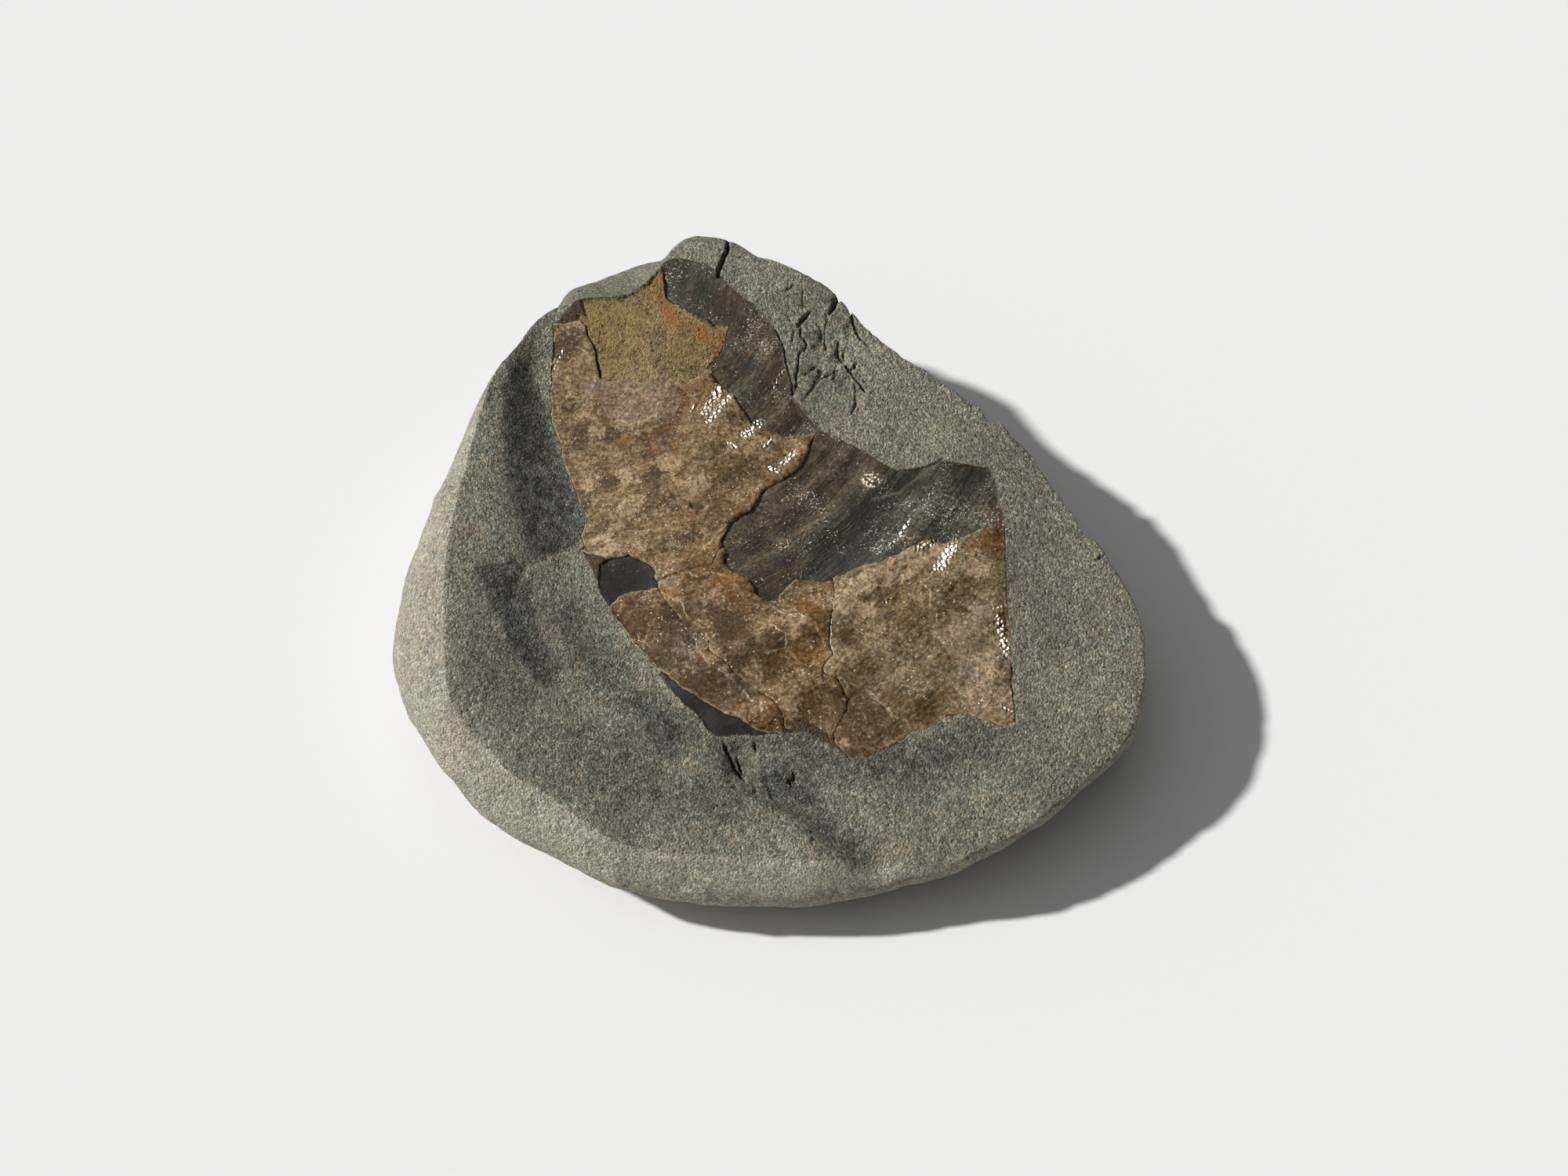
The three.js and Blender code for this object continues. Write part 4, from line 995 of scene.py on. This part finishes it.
def build_stone():
    """Closed stone mesh: split face, wall rings and flat resting spot."""
    rim = circle(rim_angle, edge_radius(rim_angle))
    face_xy, faces = triangulated(EDGE_STEPS, [rim, *face_points()])
    x, y = face_xy.T
    face_z, fields = stone_height(x, y)
    rim_gap = edge_radius(np.arctan2(y, x)) - np.hypot(x, y)
    face_z = face_z - 0.12 * bell(rim_gap, 0.3)
    vertices = [np.column_stack([face_xy, face_z])]
    outer = [-rim_gap]

    previous = list(range(EDGE_STEPS))
    count = len(face_xy)
    rings = [((k / WALL_RINGS_ABOVE) ** 1.5, True) for k in range(1, WALL_RINGS_ABOVE + 1)]
    rings += [(k / WALL_RINGS_BELOW, False) for k in range(1, WALL_RINGS_BELOW + 1)]
    for number, (swing, above) in enumerate(rings):
        radius, level = wall_ring(face_z[:EDGE_STEPS], swing, above)
        fade = min(1, (number + 1) / 5) * (1 if above else math.cos(swing * math.pi / 2) ** 0.5)
        lump = layered(*circle(rim_angle, radius).T, WALL_NOISE, level)
        radius = radius + fade * (lump - 0.12)
        vertices.append(np.column_stack([circle(rim_angle, radius), level]))
        outer.append(np.full(EDGE_STEPS, 0.4 + 0.5 * number))
        current = list(range(count, count + EDGE_STEPS))
        count += EDGE_STEPS
        for i in range(EDGE_STEPS):
            j = (i + 1) % EDGE_STEPS
            faces.append([previous[i], current[i], current[j], previous[j]])
        previous = current
    faces.append(previous[::-1])
    vertices = np.concatenate(vertices)

    skin, side = line_distance(to_plan(MOULD_SKIN_ROUTE), x, y, reach=SKIN_REACH)
    rust, _ = line_distance(to_plan(RUST_ROUTE), x, y)
    vein, _ = line_distance(roughen(VEIN_ROUTE, 0.4, 0.2, False), x, y)
    all_x, all_y = vertices.T[:2]
    stone = new_piece("stone_rock", vertices, faces, {
        **fields,
        **{key: spots_strength(spots, x, y) for key, spots in STONE_SPOTS.items()},
        "skin": skin * side,
        "rust": bell(rust, 1.6),
        "vein": bell(vein, 0.25),
        "under": on_fossil(x, y, 0.2, 0.5),
        "outer_edge": np.concatenate(outer),
        # tone carries the painted light and painted shade of the stone
        "tone": painted_light_and_shade(all_x, all_y),
        "back": smoothstep(all_y, 28, 44) * smoothstep(-all_x, 2, 12),
    })
    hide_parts("stone")
    return stone


def shell_lift(x, y, open_gap, joint_gap):
    """Height of the shell above the split face, and its layers."""
    wide = 0.45 + 0.3 * value_noise(x, y, 2, 201)
    lip = (0.24 * on_fossil(x, y, 0.6, 2.0) - 0.08) * (1 - smoothstep(open_gap, 0, wide))
    lip = lip + 0.06 * (1 - smoothstep(joint_gap, 0, 0.3))
    flaking = rough_noise(x, y, 8, 208, octaves=6)
    layers = smoothstep(flaking, 0.22, 0.27) + smoothstep(flaking, 0.62, 0.67)
    facet, gloss = glint_height(x, y)
    calm = 1 - 0.9 * gloss
    worn = layered(x, y, SHELL_NOISE) - 0.10 * layers + 0.06 * growth_lines(x, y)
    lift = -SHELL_SINK - lip + calm * worn
    edge = 0 * x
    for route in flake_plans:
        distance, side = line_distance(route, x, y, reach=5.0)
        lift = lift + 0.055 * calm * side * smoothstep(distance, 0, 0.09) * np.exp(-distance / 0.8)
        edge = np.maximum(edge, bell(distance, 0.09))
    return lift + facet, layers, edge, gloss


def build_shell(name, seed):
    """Closed plate of broken shell that replaces its CAD node."""
    border = shell_plans[name]
    x, y = lattice(SHELL_SPACING, seed, border.min(axis=0), border.max(axis=0))
    keep = inside_distance(border, x, y) > 0.18
    finer = [glint_points(SHELL_GLINT_SEED)]
    for route in flake_plans:
        finer += [route, *beside(route, 0.09, 0.09)]
    finer = np.concatenate(finer)
    finer = finer[inside_distance(border, *finer.T) > 0.12]
    xy, faces = triangulated(len(border), [border, np.stack([x[keep], y[keep]], axis=1), finer])
    x, y = xy.T
    open_gap, joint_gap = (segment_distance(*edges, x, y, 6.0)[0] for edges in open_edges(name))
    ground = face_height(x, y)
    lift, layers, edge, gloss = shell_lift(x, y, open_gap, joint_gap)
    pit = 0 * x
    if name == "shell_upper":
        inside = inside_distance(roughen(SHELL_HOLE, 0.25, 0.08), x, y)
        pit = smoothstep(inside, -0.12, 0.12)
        lift = lift - 0.55 * pit
        edge = np.maximum(edge, bell(inside, 0.25))
        layers = layers + 2 * pit
    top = ground + lift
    count, ring = len(xy), len(border)
    rim = xy[:ring]
    low = ground[:ring] - SHELL_SINK - SHELL_THICKNESS
    vertices = np.concatenate([
        np.column_stack([xy, top]),
        np.column_stack([rim, (top[:ring] + low) / 2]),
        np.column_stack([rim, low]),
    ])
    levels = [list(range(start, start + ring)) for start in (0, count, count + ring)]
    forward = turning(rim) > 0
    for upper, lower in zip(levels, levels[1:]):
        for i in range(ring):
            j = (i + 1) % ring
            quad = [upper[i], lower[i], lower[j], upper[j]]
            faces.append(quad if forward else quad[::-1])
    faces.append(levels[-1][::-1] if forward else levels[-1])
    piece = new_piece(name + "_plate", vertices, faces, {
        "edge_gap": np.minimum(open_gap, joint_gap + 0.2),
        "layers": layers,
        "flake_edge": edge,
        "gloss": gloss,
        "pit": pit,
        **{key: stain(key, x, y) for key in SHELL_SPOTS},
    })
    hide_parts(name)
    return piece


class Signal:
    """Output of a shader node, with arithmetic that adds the nodes for it."""

    def __init__(self, tree, socket):
        self.tree, self.socket = tree, socket

    def maths(self, operation, other):
        return self.tree.add("Math", {0: self, 1: other}, operation=operation)

    def __add__(self, other):
        return self.maths("ADD", other)

    def __sub__(self, other):
        return self.maths("SUBTRACT", other)

    def __mul__(self, other):
        return self.maths("MULTIPLY", other)

    def ranged(self, low, high, to_low=0.0, to_high=1.0):
        ends = {"From Min": low, "From Max": high, "To Min": to_low, "To Max": to_high}
        return self.tree.add("MapRange", {"Value": self, **ends})


class Tree:
    """The shader nodes of one material."""

    def __init__(self, name):
        self.material = bpy.data.materials.new(name)
        self.material.use_nodes = True
        self.material.node_tree.nodes.clear()
        self.coords = self.add("TexCoord", output="Object")

    def node(self, kind, inputs=None, **settings):
        """Node with its settings, its inputs set or linked by name or number."""
        node = self.material.node_tree.nodes.new("ShaderNode" + kind)
        for key, value in settings.items():
            setattr(node, key, value)
        for key, value in (inputs or {}).items():
            if isinstance(value, Signal):
                self.material.node_tree.links.new(value.socket, node.inputs[key])
            elif isinstance(value, tuple) and node.inputs[key].type == "RGBA":
                node.inputs[key].default_value = (*value, 1)
            else:
                node.inputs[key].default_value = value
        return node

    def add(self, kind, inputs=None, output=0, **settings):
        return Signal(self, self.node(kind, inputs, **settings).outputs[output])

    def field(self, name):
        """Value that the mesh carries at each point."""
        return self.add("Attribute", output="Fac", attribute_name=name)

    def noise(self, scale, detail=3, roughness=0.55, distortion=0.0, coords=None):
        return self.add("TexNoise", {
            "Vector": coords or self.coords, "Scale": scale, "Detail": detail,
            "Roughness": roughness, "Distortion": distortion,
        }, "Fac")

    def cells(self, scale, coords=None):
        """Tone of scattered cells, and the distance from their middle."""
        node = self.node("TexVoronoi", {"Vector": coords or self.coords, "Scale": scale})
        return Signal(self, node.outputs["Color"]), Signal(self, node.outputs["Distance"])

    def cell_gap(self, scale, coords):
        """Distance from the border between the same cells."""
        inputs = {"Vector": coords, "Scale": scale}
        return self.add("TexVoronoi", inputs, "Distance", feature="DISTANCE_TO_EDGE")

    def warped(self, scale, amount):
        """Texture space pushed about by noise, for ragged borders."""
        push = self.add(
            "TexNoise", {"Vector": self.coords, "Scale": scale, "Detail": 5, "Roughness": 0.65},
            "Color",
        )
        push = self.add("VectorMath", {0: push, 1: (0.5, 0.5, 0.5)}, operation="SUBTRACT")
        push = self.add("VectorMath", {0: push, "Scale": amount}, operation="SCALE")
        return self.add("VectorMath", {0: self.coords, 1: push}, operation="ADD")

    def mix(self, factor, first, second, blend="MIX"):
        """Colour between two, or the first multiplied by the second."""
        inputs = {0: factor, 6: first, 7: second}
        return self.add("Mix", inputs, 2, data_type="RGBA", blend_type=blend)

    def between(self, factor, first, second):
        """Number between two."""
        return self.add("Mix", {0: factor, 2: first, 3: second})

    def shaded(self, colour, value):
        """Colour multiplied by a number."""
        grey = self.add("CombineColor", {0: value, 1: value, 2: value})
        return self.mix(1.0, colour, grey, "MULTIPLY")

    def ramp(self, factor, *stops):
        """Colour ramp from (place, red, green, blue) stops."""
        node = self.node("ValToRGB", {"Fac": factor})
        elements = node.color_ramp.elements
        while len(elements) < len(stops):
            elements.new(0.5)
        for element, (place, *colour) in zip(elements, stops):
            element.position = place
            element.color = (*colour, 1)
        return Signal(self, node.outputs["Color"])

    def ribbed(self, across, along):
        """Texture space that runs with the growth ribs."""
        parts = {0: self.field("growth") * across, 1: self.field("along") * along}
        return self.add("CombineXYZ", parts)

    def rib_noise(self, scale, detail, roughness, along):
        """Noise stretched along the growth ribs."""
        return self.noise(scale, detail, roughness, coords=self.ribbed(1.0, along))

    def finish(self, colour, roughness, height, bump_distance, specular):
        """Principled surface with a bump, and the output node."""
        bump = self.add("Bump", {"Height": height, "Distance": bump_distance})
        surface = self.add("BsdfPrincipled", {
            "Base Color": colour, "Roughness": roughness, "Normal": bump,
            "Specular IOR Level": specular,
        })
        self.node("OutputMaterial", {"Surface": surface})
        return self.material


def mould_colours(t, mottle, speckle):
    """Colour and tone of the bare mould: streaks along the ribs, specks partly painted as sparkle,
    golden grains painted as a glint, and painted light and shade on the rib flanks and spots.
    """
    streak = t.rib_noise(2.1, 3, 0.6, 0.10)
    tone = streak * 0.28 + mottle * 0.2 + t.rib_noise(0.5, 2, 0.5, 0.08) * 0.27 + speckle * 0.25
    brown = t.ramp(
        tone, (0.40, 0.018, 0.012, 0.005), (0.5, 0.055, 0.042, 0.023), (0.60, 0.135, 0.104, 0.062),
    )
    blue = t.ramp(
        tone, (0.40, 0.012, 0.011, 0.007), (0.5, 0.040, 0.038, 0.026), (0.60, 0.120, 0.112, 0.080),
    )
    skin = t.field("skin") + mottle.ranged(0.3, 0.7, -0.5, 0.5)
    colour = t.mix(skin.ranged(-0.15, 0.15), brown, blue)
    clusters = t.noise(110, 4, 0.65).ranged(0.40, 0.62, -0.09, 0.06)
    # White specks painted in the colour: partly real calcite specks, partly painted sparkle
    # highlights
    white_specks_and_sparkle = t.noise(2500, 2, 0.6) + streak.ranged(0.38, 0.62, -0.05, 0.03) + clusters
    fleck = t.noise(5.5, 2, 0.6, coords=t.ribbed(1.0, 0.3)) + clusters
    # Painted light on the lit rib flanks and light mould spots; painted shade on the shaded flanks
    # and dark mould spots
    lit = (t.field("lit") * 0.5).maths("MAXIMUM", t.field("mould_painted_light"))
    layers = [
        (skin.maths("ABSOLUTE", 0.0).ranged(0.22, 0.05) * 0.35, (0.20, 0.17, 0.12)),
        (
            (t.field("shaded_flank") * 0.3).maths("MAXIMUM", t.field("mould_painted_shade") * 0.7),
            (0.018, 0.018, 0.015),
        ),
        (lit * speckle.ranged(0.42, 0.6, 0.0, 0.65), (0.20, 0.185, 0.135)),
        (t.field("film") * mottle.ranged(0.35, 0.55, 0.3, 1.0), (0.095, 0.058, 0.036)),
        (white_specks_and_sparkle.ranged(0.640, 0.665) * 0.95, (0.60, 0.58, 0.50)),
        (fleck.ranged(0.66, 0.70, 0.0, 0.8), (0.40, 0.38, 0.31)),
        (t.rib_noise(6.5, 2, 0.5, 0.05).ranged(0.60, 0.65, 0.0, 0.5), (0.19, 0.17, 0.125)),
        (t.rib_noise(8.0, 3, 0.6, 0.04).ranged(0.42, 0.36, 0.0, 0.75), (0.012, 0.010, 0.006)),
    ]
    for amount, tint in layers:
        colour = t.mix(amount, colour, tint)
    redder = t.rib_noise(0.35, 2, 0.5, 0.05).ranged(0.46, 0.60, 0.0, 0.55)
    colour = t.mix(redder, colour, t.mix(1.0, colour, (1.15, 0.93, 0.78), "MULTIPLY"))
    colour = t.mix(t.field("vein") * 0.35, colour, (0.28, 0.25, 0.18))
    # golden grains painted near white: a painted glint
    nugget, nugget_gap = t.cells(1900)
    gold_grain_glint = nugget.ranged(0.40, 0.46) * nugget_gap.ranged(0.55, 0.35)
    colour = t.mix(gold_grain_glint * t.field("gold_grain_glint").ranged(0.25, 0.5), colour, (1.0, 0.9, 0.62))
    return t.mix(t.field("hole") * 0.9, colour, (0.006, 0.004, 0.002)), tone


def stone_material():
    """Sandstone: split face, weathered outside, bare mould and ochre patch, with painted light and
    shade on the face and painted shade in the cracks.
    """
    t = Tree("sandstone_with_mould")
    grain, grain_gap = t.cells(2400)
    small_grain, _ = t.cells(3900)
    cloud, mottle, speckle = t.noise(55, 4), t.noise(330, 4, 0.65), t.noise(1500, 3, 0.7)
    tone = t.between(0.5, grain, small_grain) * 0.62 + speckle * 0.45

    face = t.ramp(
        tone, (0.28, 0.060, 0.060, 0.047), (0.43, 0.180, 0.175, 0.131),
        (0.53, 0.252, 0.241, 0.178), (0.63, 0.355, 0.336, 0.250), (0.78, 0.60, 0.57, 0.45),
    )
    tint = t.ramp(mottle, (0.3, 0.87, 0.93, 0.95), (0.5, 1.0, 1.0, 1.0), (0.72, 1.16, 1.02, 0.92))
    face = t.mix(0.8, face, tint, "MULTIPLY")
    # The tone field holds painted light and painted shade; where the painted shade is deep, the
    # face gets a bluer tint and stronger painted grain shade
    painted_shade_amount = t.field("tone").ranged(0.95, 0.6)
    grain_tone_and_shade = t.noise(560, 4, 0.7).ranged(0.36, 0.64)
    grain_tone_and_shade = t.between(painted_shade_amount, grain_tone_and_shade.ranged(0, 1, 0.88, 1.12), grain_tone_and_shade.ranged(0, 1, 0.5, 1.55))
    shade = cloud.ranged(0.38, 0.62, 0.88, 1.12) * t.field("tone") * grain_tone_and_shade
    face = t.mix(painted_shade_amount, face, t.mix(1.0, face, (0.96, 1.0, 1.08), "MULTIPLY"))

    outside = t.ramp(
        tone, (0.3, 0.15, 0.14, 0.108), (0.43, 0.32, 0.295, 0.23), (0.63, 0.53, 0.495, 0.385),
        (0.8, 0.80, 0.76, 0.62),
    )
    outside = t.mix(0.6, outside, tint, "MULTIPLY")
    outside = t.mix(cloud.ranged(0.45, 0.7, 0, 0.5), outside, (0.24, 0.215, 0.16))
    back = t.ramp(
        tone, (0.3, 0.12, 0.12, 0.085), (0.5, 0.225, 0.215, 0.15), (0.8, 0.40, 0.385, 0.285),
    )
    outside = t.mix(t.field("back"), outside, back)

    mould_colour, mould_tone = mould_colours(t, mottle, speckle)
    ochre_colour = t.ramp(
        mottle * 0.5 + tone * 0.5, (0.36, 0.078, 0.058, 0.028), (0.49, 0.248, 0.178, 0.084),
        (0.62, 0.44, 0.318, 0.150),
    )
    yellow = t.field("yellow") * mottle.ranged(0.3, 0.6, 0.2, 0.7)
    ochre_colour = t.mix(yellow, ochre_colour, (0.31, 0.20, 0.060))
    rust = t.field("rust") * mottle.ranged(0.35, 0.6, 0.15, 0.95)
    ochre_colour = t.mix(rust, ochre_colour, (0.37, 0.140, 0.026))
    pits = t.noise(1250, 2, 0.5).ranged(0.38, 0.32)
    ochre_colour = t.mix(pits * 0.85, ochre_colour, (0.035, 0.024, 0.012))

    wander = speckle.ranged(0.3, 0.7, -0.22, 0.22)
    outer = (t.field("outer_edge") + wander).ranged(-0.15, 0.15)
    mould = (t.field("mould_edge") + wander).ranged(-0.14, 0.1)
    ochre = (t.field("ochre_edge") + wander).ranged(-0.14, 0.1)
    colour = t.mix(t.field("vein") * 0.3, face, (0.36, 0.33, 0.26))
    colour = t.shaded(t.mix(outer, colour, outside), shade)
    brown_rock = t.ramp(tone, (0.3, 0.05, 0.030, 0.014), (0.7, 0.14, 0.092, 0.048))
    colour = t.mix(t.field("under"), colour, brown_rock)
    colour = t.mix(ochre, t.mix(mould, colour, mould_colour), ochre_colour)
    # painted shade, near black, in the open cracks
    colour = t.mix(t.field("painted_crack_shade") * 0.85, colour, (0.012, 0.012, 0.010))

    smooth = mould * ochre.ranged(0, 1, 1, 0)
    gloss = t.field("gloss")
    rough_mould = t.between(gloss.ranged(0.0, 0.5), mould_tone.ranged(0.4, 0.6, 0.46, 0.32), 0.26)
    roughness = t.between(smooth, 0.9, t.between(t.field("dull"), rough_mould, 0.85))
    rock_height = grain_gap * -0.5 + 0.5 + grain * 0.35 + t.noise(900, 5, 0.75) * 1.5
    # the bump also grows where the painted shade is deep
    rock_height = rock_height * t.field("tone").ranged(1.0, 0.5, 1.0, 1.9)
    mould_height = t.rib_noise(5.0, 3, 0.7, 0.16) * 0.18 + speckle * 0.22
    mould_height = mould_height * gloss.ranged(0.0, 0.4, 1.0, 0.1)
    height = t.between(smooth, rock_height, mould_height)
    return t.finish(colour, roughness, height, ROCK_BUMP, 0.35)


def shell_material(name, dark, middle, pale, cloud, lumpy, paleness):
    """Waxy calcite shell: stained flakes with pale rims, crusts, granules partly painted as
    sparkle, glossy strips, and painted light and shade on the rib flanks.
    """
    t = Tree(name)
    blotch, medium = t.noise(170, 6, 0.7, 0.5), t.noise(700, 4, 0.7, 0.3)
    fine = t.noise(1700, 3, 0.7)
    ragged = t.warped(300, 0.0075)
    flake_tone, scale_tone = (t.cells(size, ragged)[0] - 0.5 for size in (170, 430))
    flake_gap, scale_gap = (t.cell_gap(size, ragged) for size in (170, 430))
    tone = blotch * (0.30 * lumpy) + medium * 0.4
    tone = tone + t.rib_noise(1.7, 4, 0.65, 0.12) * (0.60 - 0.30 * lumpy)
    tone = tone + flake_tone * (0.20 * lumpy) + scale_tone * 0.12
    colour = t.ramp(tone, (0.38, *dark), (0.5, *middle), (0.62, *pale))
    wander = flake_tone * 0.6 + scale_tone * 0.35 + medium.ranged(0.3, 0.7, -0.2, 0.2)

    def stained(key, border=0.035):
        """Strength of a stain whose borders follow the flakes and the mottling."""
        return (t.field(key) + wander).ranged(0.465 - border, 0.465 + border)

    for amount, tint in [
        (stained("orange") * 0.60, (0.185, 0.078, 0.017)),
        (stained("lilac") * 0.50, cloud),
        (stained("dark") * 0.90, (0.056, 0.031, 0.009)),
        (t.field("layers").ranged(0.0, 1.0, 0.0, 0.35), (0.12, 0.064, 0.020)),
        # painted shade on the shaded rib flanks and painted light on the lit ones
        (t.field("shaded_flank") * 0.4, (0.075, 0.047, 0.017)),
        (t.field("lit") * medium.ranged(0.42, 0.58, 0.0, 0.3), (0.30, 0.22, 0.125)),
        (
            stained("pale", 0.16) * medium.ranged(0.40, 0.56, 0.25 * paleness, paleness),
            (0.42, 0.298, 0.178),
        ),
    ]:
        colour = t.mix(amount, colour, tint)
    colour = t.shaded(colour, fine.ranged(0.36, 0.64, 0.45, 1.55))

    plain = t.field("dark").ranged(0.3, 0.7, 1.0, 0.15)
    crusty = t.field("crusty")
    zone = (blotch.ranged(0.48, 0.62) + crusty * 0.5).maths("MINIMUM", 1.0)
    crust = fine.ranged(0.56, 0.63) * zone
    rims = crusty * 0.4 + medium.ranged(0.44, 0.58, 0.0, 0.5)
    rims = rims * blotch.ranged(0.42, 0.56) * plain
    edge = t.field("edge_gap").ranged(0.3, 0.0) * medium.ranged(0.42, 0.56, 0.15, 1.0)
    # Pale specks painted in the colour: partly white granules, partly painted sparkle highlights
    granule_and_sparkle, granule_and_sparkle_gap = t.cells(1.0, t.ribbed(2.2, 1.7))
    granule_and_sparkle = (granule_and_sparkle + blotch.ranged(0.4, 0.6, -0.08, 0.08)).ranged(0.745, 0.775)
    for amount, tint in [
        (crust * 0.55, (0.46, 0.36, 0.24)),
        (flake_gap.ranged(0.030, 0.006) * rims, (0.50, 0.40, 0.26)),
        (scale_gap.ranged(0.060, 0.015) * rims * 0.6, (0.40, 0.31, 0.19)),
        (t.field("flake_edge") * medium.ranged(0.42, 0.54, 0.1, 1.0) * 0.7, (0.46, 0.36, 0.23)),
        (edge * 0.7, (0.44, 0.33, 0.21)),
        (granule_and_sparkle_gap.ranged(0.32, 0.16) * granule_and_sparkle * plain, (0.66, 0.58, 0.46)),
        (t.field("pit") * 0.75, (0.045, 0.028, 0.012)),
    ]:
        colour = t.mix(amount, colour, tint)

    gloss = t.field("gloss")
    dull = t.field("dull").ranged(0.1, 0.45) * fine.ranged(0.70, 0.64)
    roughness = t.between(dull, blotch.ranged(0.35, 0.65, 0.26, 0.36), 0.85)
    roughness = t.between(crust * 0.8, roughness, 0.8)
    shiny = t.rib_noise(3.0, 2, 0.5, 0.14).ranged(0.62, 0.55) * gloss.ranged(0.2, 0.5)
    roughness = t.between(shiny, roughness, 0.22)
    height = t.noise(620, 1, 0.4) * 0.55 + fine * 0.25 + flake_tone * 0.5 + scale_tone * 0.35
    height = height * gloss.ranged(0.0, 0.4, 1.0, 0.1)
    return t.finish(colour, roughness, height, SHELL_BUMP, 0.4)


def floor_material():
    t = Tree("pale_floor")
    grain = t.noise(400, 2)
    colour = t.ramp(grain, (0.3, 0.797, 0.797, 0.797), (0.7, 0.803, 0.803, 0.803))
    return t.finish(colour, grain.ranged(0.3, 0.7, 0.9, 0.95), grain, FLOOR_BUMP, 0.1)


def build_floor():
    mesh = bpy.data.meshes.new("floor")
    reach = FLOOR_REACH
    corners = [(-reach, -reach, 0), (reach, -reach, 0), (reach, reach, 0), (-reach, reach, 0)]
    mesh.from_pydata(corners, [], [(0, 1, 2, 3)])
    floor = add_object("floor", mesh)
    floor.data.materials.append(floor_material())


def build_camera():
    """Camera where the photograph was taken from."""
    data = bpy.data.cameras.new("camera")
    data.lens = LENS_LENGTH
    data.sensor_width = SENSOR_WIDTH
    data.clip_start = 0.01
    camera = add_object("camera", data)
    turn = Matrix((RIGHTWARD, UPWARD, TO_CAMERA)).transposed().to_4x4()
    camera.matrix_world = Matrix.Translation(Vector(in_row(CAMERA_SPOT))) @ turn
    bpy.context.scene.camera = camera


def build_lights():
    """Key light low on the left, a broad fill above it and an even pale world."""
    for name, to_light, strength, angle, colour in SUNS:
        data = bpy.data.lights.new(name, "SUN")
        data.energy = strength
        data.angle = math.radians(angle)
        data.color = colour
        lamp = add_object(name, data)
        lamp.rotation_euler = Vector(to_light).to_track_quat("Z", "Y").to_euler()
    world = bpy.data.worlds.new("studio")
    world.use_nodes = True
    background = world.node_tree.nodes["Background"]
    background.inputs["Color"].default_value = (*SKY_COLOUR, 1)
    background.inputs["Strength"].default_value = SKY_STRENGTH
    bpy.context.scene.world = world
    bpy.context.scene.view_settings.view_transform = "Standard"


# Shell tones: slot, dark, middle, pale, the cloudy stain, how lumpy, strength of the pale stain
SHELL_TONES = {
    "shell_upper": (
        "pale_shell", (0.060, 0.034, 0.010), (0.147, 0.093, 0.038), (0.272, 0.187, 0.096),
        (0.205, 0.150, 0.108), 1.0, 0.5,
    ),
    "shell_middle": (
        "brown_shell", (0.046, 0.023, 0.006), (0.127, 0.071, 0.023), (0.245, 0.160, 0.071),
        (0.20, 0.145, 0.098), 1.0, 0.5,
    ),
    "shell_lower_left": (
        "brown_shell", (0.020, 0.008, 0.002), (0.055, 0.027, 0.008), (0.120, 0.070, 0.029),
        (0.16, 0.108, 0.068), 1.0, 0.5,
    ),
    "shell_right": (
        "olive_shell", (0.066, 0.041, 0.015), (0.163, 0.113, 0.055), (0.30, 0.220, 0.132),
        (0.30, 0.235, 0.175), 0.45, 0.95,
    ),
}

stone = build_stone()
stone.data.materials.append(stone_material())
for number, (node_name, (slot, *tones)) in enumerate(SHELL_TONES.items()):
    plate = build_shell(node_name, 200 + 10 * number)
    plate.data.materials.append(shell_material(node_name + "_calcite", *tones))
build_floor()
build_camera()
build_lights()
